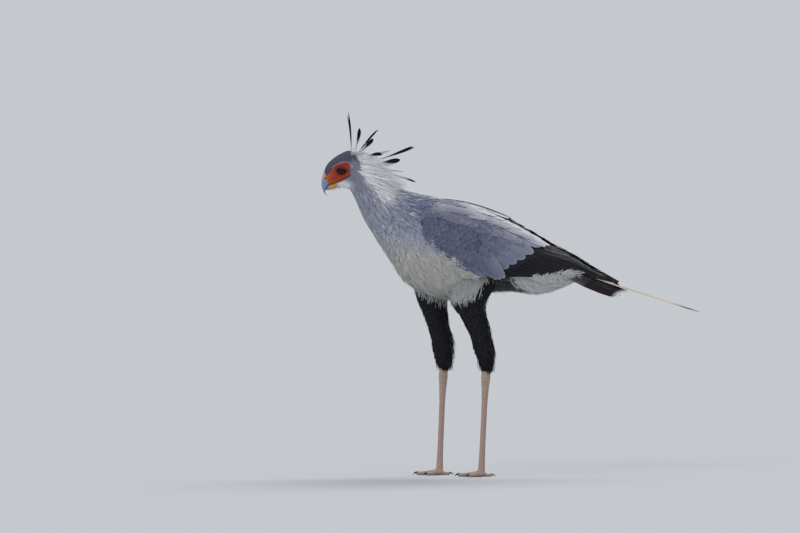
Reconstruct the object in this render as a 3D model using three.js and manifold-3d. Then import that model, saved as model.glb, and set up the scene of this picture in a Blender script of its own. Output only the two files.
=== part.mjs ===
// A standing secretary bird at life size, in millimetres, +Z up.
// The bird faces -X, its left side is -Y, and the floor is z = 0 under the middle of its length.
import * as THREE from "three";
import { mergeVertices } from "three/addons/utils/BufferGeometryUtils.js";
import Module from "manifold-3d";

const wasm = await Module();
wasm.setup();

// Driving sizes

const GAP = 0.4; // between nodes that meet
const VANE_THICKNESS = 0.9;
const WING_VANE = 0.55;
const LEFT = -1;
const RIGHT = 1;

// Head, neck and torso: each row is the top line's x and z, the bottom line's x and z, and half the width.
const BODY = [
  [-575, 905, -554, 858, 11],
  [-564, 915, -541, 864, 14],
  [-553, 936, -534, 864, 19.5],
  [-534, 954, -526, 867, 25.5],
  [-513, 967, -519, 867, 29],
  [-489, 976, -504, 864, 30],
  [-465, 966, -489, 861, 30],
  [-438, 948, -480, 851, 31],
  [-408, 924, -468, 828, 34],
  [-381, 897, -453, 793, 40],
  [-357, 874, -435, 757, 50],
  [-324, 857, -399, 702, 67],
  [-276, 845, -363, 648, 85],
  [-216, 832, -321, 588, 97],
  [-156, 815, -255, 552, 101],
  [-90, 786, -177, 537, 99],
  [-27, 750, -90, 552, 89],
  [30, 710, -3, 558, 70],
  [90, 668, 75, 548, 50],
  [144, 632, 144, 566, 32],
  [186, 608, 186, 586, 14],
];
const BODY_SIDES = 20;
const HEAD_FULLNESS = 0.16; // how much wider a section is above its middle
const BILL_PLANE = { through: [-564, 0, 915], normal: [-0.912, 0, -0.411] };
const HEAD_PLANE = { through: [-447, 0, 953], normal: [-0.921, 0, 0.389] };
const NECK_PLANE = { through: [-357, 0, 874], normal: [-0.832, 0, 0.555] };

const UPPER_BILL = [
  [-554, 920, -532, 886, 15],
  [-565, 912, -542, 879, 13.5],
  [-569.5, 897, -549, 870, 11.6],
  [-571.5, 881, -555.5, 862, 9.2],
  [-570.5, 867, -560, 854.5, 6.8],
  [-566.5, 855, -560, 848.5, 4.4],
  [-561, 846, -557, 844, 2.6],
  [-553, 839.5, -552, 841.5, 1],
];
const LOWER_BILL = [
  [-528, 888, -524, 866, 14.5],
  [-536, 883, -533, 862, 13],
  [-544, 878, -541.5, 859.5, 10.8],
  [-551, 872, -548, 858, 7.8],
  [-556, 866, -553.5, 858, 4.4],
  [-558.5, 862, -557, 858.5, 1.6],
];
const NOSTRIL = { at: [-559.5, 893], radii: [4.6, 5, 2], tilt: -0.75 };

const EYE = { at: [-512, 915], y: 21.5, radius: 10.2 };
const LID = { y: 27.6, ring: 9.6, thick: 2.3, stretch: 1.22, squint: 0.72, tilt: -0.12 };
const BROW = { at: [-519, 931], y: 24.5, radii: [23, 5.5, 4.6], tilt: -0.45 };
const MOUTH = { from: [-552, 870], to: [-484, 903], slit: 1.2, depth: 4 };

// The folded wing's outer surface: the same kind of rows, from the shoulder to the tip.
const WING = [
  [-297, 770, -282, 690, 70],
  [-282, 786, -276, 706, 82],
  [-246, 817, -249, 670, 97],
  [-198, 822, -192, 634, 106],
  [-138, 811, -120, 605, 111],
  [-72, 789, -42, 588, 110],
  [-12, 762, 30, 597, 102],
  [48, 732, 99, 590, 88],
  [108, 699, 153, 603, 72],
  [180, 663, 216, 600, 54],
  [252, 619, 273, 585, 38],
  [309, 584, 312, 576, 30],
];
const WING_TOP_GAP = 3; // from the bird's middle plane to the wing's upper edge
const WING_WIDEST = 0.55; // share of the way down at which a wing is widest
const WING_TUCK = 0.07; // how far the lower edge is tucked in
const RIGHT_WING_REACH = 1.16; // the right wing's flight feathers show past the left wing's
const RIGHT_WING_RISE = 8; // and its upper edge behind the shoulder stands a little higher

// How far the wing's core rises off that surface, row by row, and where the core ends.
const WING_CORE = [6, 6, 5.5, 4.5, 3.5, 2, 0, -2.5, -4.5];
const WING_CORE_END = 8.2;
const WING_CORE_INSIDE = -10;

// Tiers of a wing, innermost first: curves in the profile through the feathers' roots and tips,
// each from the wing's lower edge to its upper one, then count, overlap, rise at the tip and sag.
const WING_TIERS = [
  { roots: [[100, 634], [120, 646], [130, 662]], tips: [[226, 598], [262, 590], [309, 580]],
    count: 3, overlap: 6, rise: 2.2, sag: 3, long: true, far: true },
  { roots: [[-44, 624], [40, 620], [80, 698]], tips: [[40, 601], [140, 602], [280, 596]],
    count: 6, overlap: 6, rise: 3.2, sag: 5, long: true, far: true },
  { roots: [[-142, 652], [-70, 680], [6, 736]], tips: [[-80, 606], [6, 612], [88, 690]],
    count: 6, overlap: 5, rise: 3.8, sag: 3 },
  { roots: [[-200, 672], [-142, 706], [-64, 774]], tips: [[-132, 626], [-56, 656], [24, 726]],
    count: 5, overlap: 5, rise: 3.8, sag: 2 },
  { roots: [[-240, 694], [-204, 734], [-134, 797]], tips: [[-188, 650], [-120, 690], [-48, 766]],
    count: 4, overlap: 5, rise: 3.8, sag: 2 },
  { roots: [[-270, 722], [-264, 756], [-232, 804]], tips: [[-228, 676], [-190, 730], [-114, 792]],
    count: 4, overlap: 5, rise: 3.8, sag: 1 },
];
const SHINGLE = 1.25; // how far each feather's lower edge stands off, and its upper edge is tucked in

// Tail: an arched roof of feathers round an axis that slopes down.
const TAIL = { root: [128, 636], slope: -19.5, arch: 44, rootArch: 26 };
const TAIL_LENGTH = 236;
const TAIL_PAIRS = 5;
const TAIL_FEATHER_WIDTH = 30;
const STREAMER_TIP = [567, 491];

// Legs, left then right: rows of x, z, half-length fore and aft, and half-width.
const THIGH_LEFT = [
  [-130, 655, 60, 26],
  [-120, 610, 68, 31],
  [-114, 580, 66, 35],
  [-128, 540, 57, 36],
  [-129, 512, 48, 34],
  [-115, 477, 38, 30],
  [-95, 423, 31, 26],
  [-84, 378, 29, 24],
  [-79, 345, 22, 19],
  [-77, 326, 14, 13],
];
const THIGH_RIGHT = [
  [-228, 655, 52, 26],
  [-238, 600, 54, 32],
  [-241, 560, 50, 36],
  [-240, 528, 44, 36],
  [-233, 495, 37, 33],
  [-223, 456, 32, 28],
  [-211, 414, 31, 25],
  [-207, 378, 30, 24],
  [-205, 345, 23, 19],
  [-204, 326, 14, 13],
];
const THIGH_SIDES = 12;
const LEG_Y = 54;
const FOOT_Y = 50;
const ANKLE_Z = 318;
const FOOT_LEFT = { ankle: -77, foot: -92 };
const FOOT_RIGHT = { ankle: -204, foot: -217 };
const TARSUS = { knob: 13.5, shank: 8.2, foot: 10.5, scutes: 13 };
const TOE_JOINT_Z = 9;
// Toes: their heading from straight ahead in degrees, length, radius and number of scutes.
const TOES = {
  middle: [0, 66, 7, 5],
  inner: [38, 47, 6.4, 3],
  outer: [-36, 46, 6.2, 3],
  hind: [180, 27, 5.6, 1],
};
const CLAW = { length: 19, radius: 4.3 };

// Mathematics

const rad = THREE.MathUtils.degToRad;
const clamp = THREE.MathUtils.clamp;
const lerp = THREE.MathUtils.lerp;
const mirrored = (side, y) => (side < 0 ? -y : y);

// A smooth curve through rows of numbers, read at any place from 0 to the last row.
function readRows(rows, at) {
  const i = clamp(Math.floor(at), 0, rows.length - 2);
  const f = at - i;
  const before = rows[Math.max(0, i - 1)];
  const after = rows[Math.min(rows.length - 1, i + 2)];
  return rows[i].map((p, k) => {
    const q = rows[i + 1][k];
    const bend = (after[k] - p) / 2;
    const start = (q - before[k]) / 2;
    const rise = q - p;
    return p + f * (start + f * (3 * rise - 2 * start - bend + f * (start + bend - 2 * rise)));
  });
}

// A point of a body's section: angle 0 is its top line and grows towards the right side.
function sectionPoint(rows, at, angle, lift = 0, fullness = 0) {
  const [tx, tz, bx, bz, half] = readRows(rows, at);
  const up = new THREE.Vector3(tx - bx, 0, tz - bz).multiplyScalar(0.5);
  const depth = up.length();
  up.multiplyScalar((depth + lift) / depth);
  const side = (half + lift) * Math.sin(angle) * (1 + fullness * Math.cos(angle));
  return new THREE.Vector3((tx + bx) / 2, side, (tz + bz) / 2).addScaledVector(up, Math.cos(angle));
}

// Where a point of the profile lies on a ruled band of rows: how far along, and how far down.
function placeInProfile(rows, x, z) {
  let low = -0.9;
  let high = rows.length - 0.1;
  const off = (at) => {
    const [tx, tz, bx, bz] = readRows(rows, at);
    return (bx - tx) * (z - tz) - (bz - tz) * (x - tx);
  };
  const sign = Math.sign(off(low));
  for (let i = 0; i < 40; i += 1) {
    const mid = (low + high) / 2;
    if (Math.sign(off(mid)) === sign) low = mid;
    else high = mid;
  }
  const [tx, tz, bx, bz] = readRows(rows, low);
  const down = ((x - tx) * (bx - tx) + (z - tz) * (bz - tz)) / ((bx - tx) ** 2 + (bz - tz) ** 2);
  return [low, down];
}

// Meshes and solids

function asSolid(geometry) {
  const bare = new THREE.BufferGeometry();
  bare.setAttribute("position", geometry.getAttribute("position"));
  if (geometry.index) bare.setIndex(geometry.index);
  const merged = mergeVertices(bare, 1e-4);
  const triVerts = new Uint32Array(merged.index.array);
  const mesh = () =>
    new wasm.Mesh({ numProp: 3, vertProperties: merged.attributes.position.array, triVerts });
  const solid = new wasm.Manifold(mesh());
  if (solid.volume() > 0) return solid;
  for (let i = 0; i < triVerts.length; i += 3) {
    [triVerts[i + 1], triVerts[i + 2]] = [triVerts[i + 2], triVerts[i + 1]];
  }
  return new wasm.Manifold(mesh());
}

function geometryOf(points, triangles) {
  const geometry = new THREE.BufferGeometry();
  const places = points.flatMap((p) => [p.x, p.y, p.z]);
  geometry.setAttribute("position", new THREE.BufferAttribute(new Float32Array(places), 3));
  geometry.setIndex(triangles);
  return geometry;
}

// A closed tube through rings of points, with a fan over each end, which `reach` moves outwards.
function tube(rings, reach = 0) {
  const sides = rings[0].length;
  const middle = (ring) =>
    ring.reduce((sum, p) => sum.add(p), new THREE.Vector3()).divideScalar(ring.length);
  const ends = [
    [rings[0], rings[1]],
    [rings.at(-1), rings.at(-2)],
  ];
  for (const [end, inner] of reach ? ends : []) {
    const outwards = middle(end).sub(middle(inner)).setLength(reach);
    for (const p of end) p.add(outwards);
  }
  const points = rings.flat();
  const triangles = [];
  for (let i = 0; i + 1 < rings.length; i += 1) {
    for (let j = 0; j < sides; j += 1) {
      const a = i * sides + j;
      const b = i * sides + ((j + 1) % sides);
      triangles.push(a, b, b + sides, a, b + sides, a + sides);
    }
  }
  const first = points.push(middle(rings[0])) - 1;
  const last = points.push(middle(rings.at(-1))) - 1;
  const end = (rings.length - 1) * sides;
  for (let j = 0; j < sides; j += 1) {
    const next = (j + 1) % sides;
    triangles.push(first, next, j, last, end + j, end + next);
  }
  return asSolid(geometryOf(points, triangles));
}

// A plate between two grids of points, split into triangles alike on both faces.
function plate(outer, inner) {
  const rows = outer.length;
  const columns = outer[0].length;
  const points = [...outer.flat(), ...inner.flat()];
  const under = rows * columns;
  const triangles = [];
  const at = (i, j) => i * columns + j;
  for (let i = 0; i + 1 < rows; i += 1) {
    for (let j = 0; j + 1 < columns; j += 1) {
      const [a, b, c, d] = [at(i, j), at(i, j + 1), at(i + 1, j + 1), at(i + 1, j)];
      triangles.push(a, b, c, a, c, d);
      triangles.push(under + a, under + c, under + b, under + a, under + d, under + c);
    }
  }
  const rim = [];
  for (let j = 0; j + 1 < columns; j += 1) rim.push(at(0, j));
  for (let i = 0; i + 1 < rows; i += 1) rim.push(at(i, columns - 1));
  for (let j = columns - 1; j > 0; j -= 1) rim.push(at(rows - 1, j));
  for (let i = rows - 1; i > 0; i -= 1) rim.push(at(i, 0));
  rim.forEach((a, k) => {
    const b = rim[(k + 1) % rim.length];
    triangles.push(a, under + a, under + b, a, under + b, b);
  });
  return asSolid(geometryOf(points, triangles));
}

const join = (pieces) => wasm.Manifold.union(pieces);

function largest(solid) {
  const bodies = solid.decompose();
  return bodies.reduce((best, body) => (body.volume() > best.volume() ? body : best));
}

function cutByPlane(solid, plane, sign, gap = GAP / 2) {
  const normal = new THREE.Vector3(...plane.normal).normalize().multiplyScalar(sign);
  const offset = normal.dot(new THREE.Vector3(...plane.through)) + gap;
  return solid.trimByPlane(normal.toArray(), offset);
}

function ellipsoid(at, radii, turn = 0, segments = 12) {
  const ball = new THREE.SphereGeometry(1, segments, Math.round(segments * 0.66));
  ball.scale(radii[0], radii[2], radii[1]);
  ball.rotateX(Math.PI / 2);
  ball.rotateY(turn);
  ball.translate(...at);
  return asSolid(ball);
}

// Feathers

// Shares of a feather's length, and its width there as a share of the widest.
const BROAD = [
  [0, 0.45],
  [0.35, 0.9],
  [0.7, 1],
  [0.9, 0.78],
  [1, 0.3],
];
const COVERT = [
  [0, 0.1],
  [0.24, 0.9],
  [0.8, 0.92],
  [1, 0.36],
];
const QUILLED = [
  [0, 0.12],
  [0.09, 0.8],
  [0.5, 1],
  [0.9, 0.8],
  [1, 0.3],
];
const LANCE = [
  [0, 0.8],
  [0.4, 1],
  [0.75, 0.6],
  [1, 0.12],
];
const LOCK = [
  [0, 0.25],
  [0.3, 1],
  [0.72, 0.68],
  [1, 0.1],
];
const STREAMER = [
  [0, 0.5],
  [0.3, 0.75],
  [0.6, 1],
  [0.86, 0.95],
  [1, 0.25],
];
const SPATULA = [
  [0, 0.45],
  [0.5, 0.42],
  [0.68, 0.75],
  [0.88, 1],
  [1, 0.35],
];

// A feather that stands free: a bent line from root to tip, with its width along the side vector.
function freeFeather(root, control, tip, side, width, shape = SPATULA, thickness = VANE_THICKNESS) {
  const line = new THREE.QuadraticBezierCurve3(root, control, tip);
  const across = side.clone().normalize();
  const grids = [0.5, -0.5].map((half) =>
    shape.map(([u, share]) => {
      const p = line.getPoint(u);
      const normal = line.getTangent(u).cross(across).normalize();
      const thick = thickness * lerp(1, 0.7, u) * half;
      return [-0.5, 0.5].map((v) =>
        p.clone().addScaledVector(across, v * width * share).addScaledVector(normal, thick),
      );
    }),
  );
  return plate(...grids);
}

// Crest and mane: root x and z, tip x and z, width, shape, bend and roll in degrees.
// A roll of 90 shows a feather's face from the side, and 0 its edge.
const CROWN_FEATHERS = [
  [-482, 966, -491, 1092, 7, LANCE, 6, 25],
  [-474, 963, -457, 1044, 17, SPATULA, -3, 75],
  [-468, 959, -401, 1039, 8, LANCE, 5, 30],
  [-465, 956, -416, 1012, 19, SPATULA, 3, 70],
  [-462, 952, -386, 967, 18, SPATULA, 4, 60],
  [-460, 949, -363, 977, 12, LANCE, 3, 50],
];
const NAPE_FEATHERS = [
  [-438, 938, -293, 987, 15, SPATULA, -6, 40],
  [-430, 931, -335, 949, 18, SPATULA, 3, 55],
  [-427, 927, -352, 936, 12, LANCE, 2, 60],
  [-416, 918, -323, 914, 10, LANCE, 3, 55],
  [-410, 911, -287, 880, 16, SPATULA, 8, 40],
];
const MANE_LOCKS = [
  [-434, 936, -376, 921, 15, LANCE, 3, 35],
  [-418, 919, -360, 892, 17, LANCE, 4, 32],
  [-398, 898, -346, 870, 16, LANCE, 4, 25],
];

// A pair of feathers from one line of a list: one at full length, its partner shorter and turned a little.
function crestPair([rx, rz, tx, tz, width, shape, bend, roll], i) {
  return [LEFT, RIGHT].map((side) => {
    const partner = (side < 0) === (i % 2 === 0);
    const out = 3 + ((i * 5) % 9);
    const reach = partner ? 0.86 + 0.02 * (i % 4) : 1;
    const turn = rad(partner ? 5 * (i % 2 ? 1 : -1) : 0);
    const root = new THREE.Vector3(rx, side * out, rz);
    const chord = new THREE.Vector3(tx - rx, 0, tz - rz).multiplyScalar(reach);
    chord.applyAxisAngle(new THREE.Vector3(0, 1, 0), turn);
    const tip = root.clone().add(chord).setY(side * (out + 6 + ((i * 7) % 17)));
    const normal = new THREE.Vector3(-chord.z, 0, chord.x).normalize();
    if (normal.z < 0) normal.negate();
    const control = root.clone().lerp(tip, 0.55).addScaledVector(normal, bend);
    const across = new THREE.Vector3(0, Math.cos(rad(roll)), 0);
    across.addScaledVector(normal, side * Math.sin(rad(roll)));
    return freeFeather(root, control, tip, across, width, shape);
  });
}

// Locks: shaggy feathers that hang off a surface, from a root on it, a direction and a length.
function lock(root, direction, length, width, droop, face) {
  const tip = root.clone().addScaledVector(direction.clone().normalize(), length);
  const control = root.clone().lerp(tip, 0.5);
  tip.z -= droop;
  const across = direction.clone().cross(face);
  return freeFeather(root, control, tip, across, width, LOCK);
}

// Body

const bodyPoint = (at, angle, lift = 0) => {
  const fullness = HEAD_FULLNESS * clamp((8 - at) / 3, 0.35, 1);
  return sectionPoint(BODY, at, angle, lift, fullness);
};

function bodyLoft(from, to, perRow, lift = 0) {
  const steps = Math.round((to - from) * perRow);
  const rings = [];
  for (let i = 0; i <= steps; i += 1) {
    const at = from + ((to - from) * i) / steps;
    const ring = [];
    for (let j = 0; j < BODY_SIDES; j += 1) {
      ring.push(bodyPoint(at, (2 * Math.PI * j) / BODY_SIDES, lift));
    }
    rings.push(ring);
  }
  return tube(rings, Math.max(0, lift));
}

const torsoLoft = (lift) => bodyLoft(8, BODY.length - 1, 1.25, lift);
const neckLoft = (lift) => bodyLoft(5, 11, 1.5, lift);
const headLoft = (lift) => bodyLoft(0, 8, 1.625, lift);
const torsoBody = cutByPlane(torsoLoft(0), NECK_PLANE, -1);
const neckBody = cutByPlane(cutByPlane(neckLoft(0), NECK_PLANE, 1), HEAD_PLANE, -1);
const headBody = cutByPlane(cutByPlane(headLoft(0), HEAD_PLANE, 1), BILL_PLANE, -1);

// The room that each of them takes, for its neighbours to be cut clear of.
const torsoRoom = cutByPlane(torsoLoft(GAP), NECK_PLANE, -1, -GAP / 2);
const neckSlice = cutByPlane(neckLoft(GAP), NECK_PLANE, 1, -GAP / 2);
const neckRoom = cutByPlane(neckSlice, HEAD_PLANE, -1, -GAP / 2);
const headRoom = cutByPlane(headLoft(GAP), HEAD_PLANE, 1, -GAP / 2);

// The fringe of the belly and the fluff under the tail, on both sides: place along the body, angle round
// it from the top in degrees, then length, width and how steeply the lock points down.
const BELLY_LOCKS = [
  [12.8, 154, 34, 30, 0.5],
  [13.9, 164, 40, 34, 0.5],
  [16.3, 150, 50, 34, 0.1],
  [17, 168, 56, 36, 0.05],
  [17.8, 146, 58, 34, 0.05],
  [18.5, 165, 60, 34, 0.02],
  [19.2, 150, 50, 28, 0.05],
];

function bellyLocks(side) {
  return BELLY_LOCKS.map(([at, angle, length, width, steep], i) => {
    const turn = side * rad(angle);
    const root = bodyPoint(at, turn, -3);
    const face = bodyPoint(at, turn, 6).sub(root).normalize();
    const back = bodyPoint(at + 0.4, turn, -3).sub(root).normalize();
    const direction = back.addScaledVector(new THREE.Vector3(0, 0, -1), steep);
    direction.addScaledVector(face, 0.13);
    return lock(root, direction, length * (1 + 0.08 * Math.sin(3 * i)), width, 3, face);
  });
}

function torso() {
  const locks = join([LEFT, RIGHT].flatMap(bellyLocks));
  const rooms = join([thighRoom(LEFT), thighRoom(RIGHT), tailRoom()]);
  return largest(join([torsoBody, locks.subtract(rooms)]));
}

// Head

const eyeAt = (side) => [EYE.at[0], side * EYE.y, EYE.at[1]];

function eye(side) {
  return ellipsoid(eyeAt(side), Array(3).fill(EYE.radius), 0, 10);
}

function lids(side) {
  const ring = new THREE.TorusGeometry(LID.ring, LID.thick, 4, 12);
  ring.scale(LID.stretch, LID.squint, 1);
  ring.rotateX(Math.PI / 2);
  ring.rotateY(LID.tilt);
  ring.translate(EYE.at[0], side * LID.y, EYE.at[1]);
  return asSolid(ring);
}

function brow(side) {
  return ellipsoid([BROW.at[0], side * BROW.y, BROW.at[1]], BROW.radii, BROW.tilt, 8);
}

function mouthSlit() {
  const [from, to] = [new THREE.Vector2(...MOUTH.from), new THREE.Vector2(...MOUTH.to)];
  const length = from.distanceTo(to);
  const slit = new THREE.BoxGeometry(length, 120, MOUTH.slit);
  slit.rotateY(-Math.atan2(to.y - from.y, to.x - from.x));
  slit.translate((from.x + to.x) / 2, 0, (from.y + to.y) / 2);
  return asSolid(slit).subtract(headLoft(-MOUTH.depth));
}

function head() {
  const sockets = [LEFT, RIGHT].map((side) =>
    ellipsoid(eyeAt(side), Array(3).fill(EYE.radius + GAP), 0, 10),
  );
  const crest = join(CROWN_FEATHERS.flatMap(crestPair)).subtract(neckRoom);
  const raised = join([headBody, lids(LEFT), lids(RIGHT), brow(LEFT), brow(RIGHT), crest]);
  return largest(raised.subtract(join(sockets)).subtract(mouthSlit()));
}

function neck() {
  const locks = join([...NAPE_FEATHERS, ...MANE_LOCKS].flatMap(crestPair));
  return largest(join([neckBody, locks.subtract(headRoom).subtract(torsoRoom)]));
}

function billTube(rows, lift = 0) {
  const steps = Math.round(1.5 * (rows.length - 1));
  const rings = [];
  for (let i = 0; i <= steps; i += 1) {
    const ring = [];
    for (let j = 0; j < 12; j += 1) {
      ring.push(sectionPoint(rows, i / 1.5, (2 * Math.PI * j) / 12, lift, -0.1));
    }
    rings.push(ring);
  }
  return tube(rings);
}

function upperBill() {
  const nostrils = [LEFT, RIGHT].map((side) =>
    ellipsoid([NOSTRIL.at[0], side * 10.5, NOSTRIL.at[1]], NOSTRIL.radii, NOSTRIL.tilt, 8),
  );
  return cutByPlane(billTube(UPPER_BILL), BILL_PLANE, 1).subtract(join(nostrils));
}

function lowerBill() {
  const seated = billTube(LOWER_BILL).subtract(billTube(UPPER_BILL, GAP));
  return largest(cutByPlane(seated, BILL_PLANE, 1));
}

// Wings

// A point of a folded wing's surface, lifted off it, from its place in the profile.
function wingPoint(side, x, z, lift) {
  const [along, down] = placeInProfile(WING, x, z);
  const outward = (at, share) => {
    const [tx, tz, bx, bz, half] = readRows(WING, at);
    const d = clamp(share, 0, 1);
    const rise = d < WING_WIDEST ? Math.sqrt(1 - (1 - d / WING_WIDEST) ** 2) : 1;
    const tuck = d < WING_WIDEST ? 0 : WING_TUCK * ((d - WING_WIDEST) / (1 - WING_WIDEST)) ** 2;
    const y = lerp(WING_TOP_GAP, half, rise - tuck);
    return new THREE.Vector3(lerp(tx, bx, share), y, lerp(tz, bz, share));
  };
  const step = 0.03;
  const p = outward(along, down);
  const alongStep = outward(along + step, down).sub(outward(along - step, down));
  const downStep = outward(along, down + step).sub(outward(along, Math.max(0, down - step)));
  const normal = alongStep.cross(downStep).normalize();
  if (normal.y < 0) normal.negate();
  p.addScaledVector(normal, lift);
  p.y = side * Math.max(WING_TOP_GAP / 2, p.y);
  if (side > 0) p.z += RIGHT_WING_RISE * clamp((along - 3) / 3, 0, 1) * clamp(1 - 0.5 * down, 0, 1);
  return p;
}

function coreLift(at) {
  const i = clamp(Math.floor(at), 0, WING_CORE.length - 2);
  return lerp(WING_CORE[i], WING_CORE[i + 1], clamp(at - i, 0, 1));
}

function wingCore(side) {
  const [rows, columns] = [8, 5];
  const grids = [true, false].map((outside) => {
    const grid = [];
    for (let i = 0; i <= rows; i += 1) {
      const at = lerp(1, WING_CORE_END, i / rows);
      const [tx, tz, bx, bz] = readRows(WING, at);
      const outer = coreLift(at);
      const inner = Math.min(outer - 1.5, lerp(WING_CORE_INSIDE, -9.5, i / rows));
      const line = [];
      for (let j = 0; j <= columns; j += 1) {
        const share = lerp(0.03, 0.92, j / columns);
        const lift = outside ? outer : inner;
        line.push(wingPoint(side, lerp(tx, bx, share), lerp(tz, bz, share), lift));
      }
      grid.push(line);
    }
    return grid;
  });
  return plate(...grids);
}

// A feather that follows the wing's surface, from a bent line in the profile.
function wingFeather(side, line, width, tipRise, shape) {
  const columns = shape === COVERT ? [-0.5, 0, 0.5] : [-0.5, 0.5];
  const grids = [0.5, -0.5].map((half) =>
    shape.map(([u, share]) => {
      const p = line.getPoint(u);
      const tangent = line.getTangent(u);
      const down = new THREE.Vector2(tangent.y, -tangent.x);
      const clear = lerp(1.8, tipRise, u);
      const rise = (u ? clear : -1.6) + coreLift(placeInProfile(WING, p.x, p.y)[0]);
      return columns.map((v) => {
        const q = p.clone().addScaledVector(down, v * width * share);
        const tilt = 2 * v * SHINGLE * share;
        return wingPoint(side, q.x, q.y, rise + tilt + half * WING_VANE);
      });
    }),
  );
  return plate(...grids);
}

const flatCurve = (points) =>
  new THREE.QuadraticBezierCurve(...points.map((p) => new THREE.Vector2(...p)));

// One tier's feathers, each as wide as its distance to the next one and the overlap.
function wingTier(side, { roots, tips, count, overlap, rise, sag, long, far }) {
  const [rootLine, tipLine] = [flatCurve(roots), flatCurve(tips)];
  const lines = Array.from({ length: count }, (_, i) => {
    const share = i / (count - 1);
    const root = rootLine.getPoint(share);
    const tip = tipLine.getPoint(share);
    if (far && side > 0) tip.sub(root).multiplyScalar(RIGHT_WING_REACH).add(root);
    const along = tip.clone().sub(root).normalize();
    const normal = new THREE.Vector2(along.y, -along.x);
    tip.addScaledVector(along, 2.5 * Math.sin(7 * i + count));
    const control = root.clone().lerp(tip, 0.5).addScaledVector(normal, sag);
    return new THREE.QuadraticBezierCurve(root, control, tip);
  });
  return lines.map((line, i) => {
    const neighbour = lines[i + 1] ?? lines[i - 1];
    const apart = neighbour.getPoint(0.5).sub(line.getPoint(0.5));
    const width = Math.abs(line.getTangent(0.5).cross(apart)) + overlap;
    return wingFeather(side, line, width, rise, long ? QUILLED : COVERT);
  });
}

function wing(side) {
  const feathers = WING_TIERS.flatMap((tier) => wingTier(side, tier));
  const whole = join([wingCore(side), ...feathers]);
  return largest(whole.subtract(torsoRoom).subtract(thighRoom(side)));
}

// Tail

function tailPoint(along, angle, lift) {
  const slope = rad(TAIL.slope);
  const axis = new THREE.Vector3(Math.cos(slope), 0, Math.sin(slope));
  const up = new THREE.Vector3(-Math.sin(slope), 0, Math.cos(slope));
  const arch = lerp(TAIL.rootArch, TAIL.arch, clamp(along / 120, 0, 1));
  const radius = arch + lift;
  return new THREE.Vector3(TAIL.root[0], 0, TAIL.root[1])
    .addScaledVector(axis, along)
    .addScaledVector(up, radius * Math.cos(angle) - arch)
    .setY(radius * Math.sin(angle));
}

// A tail feather that lies on the roof at an angle, tucked in by its lift.
function tailFeather(angle, reach, lift) {
  const grids = [0.5, -0.5].map((half) =>
    COVERT.map(([u, share]) => {
      const along = lerp(14, reach, u);
      const spread = (TAIL_FEATHER_WIDTH * lerp(share, 1, 0.25) * 0.5) / TAIL.arch;
      return [-1, 0, 1].map((v) =>
        tailPoint(along, angle + v * spread, lift + half * VANE_THICKNESS),
      );
    }),
  );
  return plate(...grids);
}

function tailBase() {
  const grids = [0.4, -13].map((lift) =>
    [0, 26, 52].map((along) =>
      [-1, -0.6, -0.2, 0.2, 0.6, 1].map((share) => tailPoint(along, share * rad(62), lift)),
    ),
  );
  return plate(...grids);
}

function streamer(side) {
  const root = tailPoint(22, side * 0.16, 0.8);
  const tip = new THREE.Vector3(STREAMER_TIP[0], side * 11, STREAMER_TIP[1]);
  const control = tailPoint(236, side * 0.3, 3);
  const across = new THREE.Vector3(0, 1, side * -0.3);
  return freeFeather(root, control, tip, across, 20, STREAMER, 1);
}

// Room that the tail's root takes, for the fluff under it to be cut clear of.
function tailRoom() {
  const grids = [4, -16].map((lift) =>
    [-20, 60, 140, 240].map((along) =>
      [-1, -0.6, -0.2, 0.2, 0.6, 1].map((share) => tailPoint(along, share * rad(84), lift)),
    ),
  );
  return plate(...grids);
}

function tail() {
  const feathers = [LEFT, RIGHT].flatMap((side) =>
    Array.from({ length: TAIL_PAIRS }, (_, k) => {
      const lift = -1.2 - 1.15 * (2 * k + (side > 0 ? 1 : 0));
      return tailFeather(side * rad(7 + 12.5 * k), TAIL_LENGTH - 5 * k, lift);
    }),
  );
  const whole = join([tailBase(), ...feathers, streamer(LEFT), streamer(RIGHT)]);
  return largest(whole.subtract(torsoRoom).subtract(wingRoom()));
}

// Room that the two folded wings take, so that the tail stays clear below them.
function wingRoom() {
  const grids = [9, -10].map((lift) => {
    const grid = [];
    for (let i = 0; i <= 12; i += 1) {
      const at = lerp(6, WING.length - 0.6, i / 12);
      const [tx, tz, bx, bz] = readRows(WING, at);
      const line = [];
      for (let j = 0; j <= 6; j += 1) {
        const share = lerp(-0.05, 1.12, j / 6);
        line.push([lerp(tx, bx, share), lerp(tz, bz, share), lift * lerp(1, 0.6, i / 12)]);
      }
      grid.push(line);
    }
    return grid;
  });
  return join(
    [LEFT, RIGHT].map((side) =>
      plate(...grids.map((grid) => grid.map((line) => line.map((p) => wingPoint(side, ...p))))),
    ),
  );
}

// Legs

const thighRows = (side) => (side < 0 ? THIGH_LEFT : THIGH_RIGHT);

function thighLoft(side, lift = 0) {
  const rows = thighRows(side);
  const rings = [];
  const steps = Math.round((rows.length - 1) * 1.25);
  for (let i = 0; i <= steps; i += 1) {
    const [x, z, fore, half] = readRows(rows, (i / steps) * (rows.length - 1));
    const ring = [];
    for (let j = 0; j < THIGH_SIDES; j += 1) {
      const angle = (2 * Math.PI * j) / THIGH_SIDES;
      const dx = (fore + lift) * Math.cos(angle);
      ring.push(new THREE.Vector3(x + dx, side * LEG_Y + (half + lift) * Math.sin(angle), z));
    }
    rings.push(ring);
  }
  return tube(rings, lift);
}

function thighRoom(side) {
  return thighLoft(side, GAP);
}

// Shaggy hem and back of a thigh: height, turn from straight ahead in degrees, length and width.
const THIGH_LOCKS = [
  [500, 150, 62, 26],
  [452, 178, 58, 26],
  [396, 200, 50, 26],
  [366, 155, 42, 22],
  [362, 60, 38, 22],
  [360, -50, 40, 22],
  [364, -120, 40, 22],
];

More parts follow.
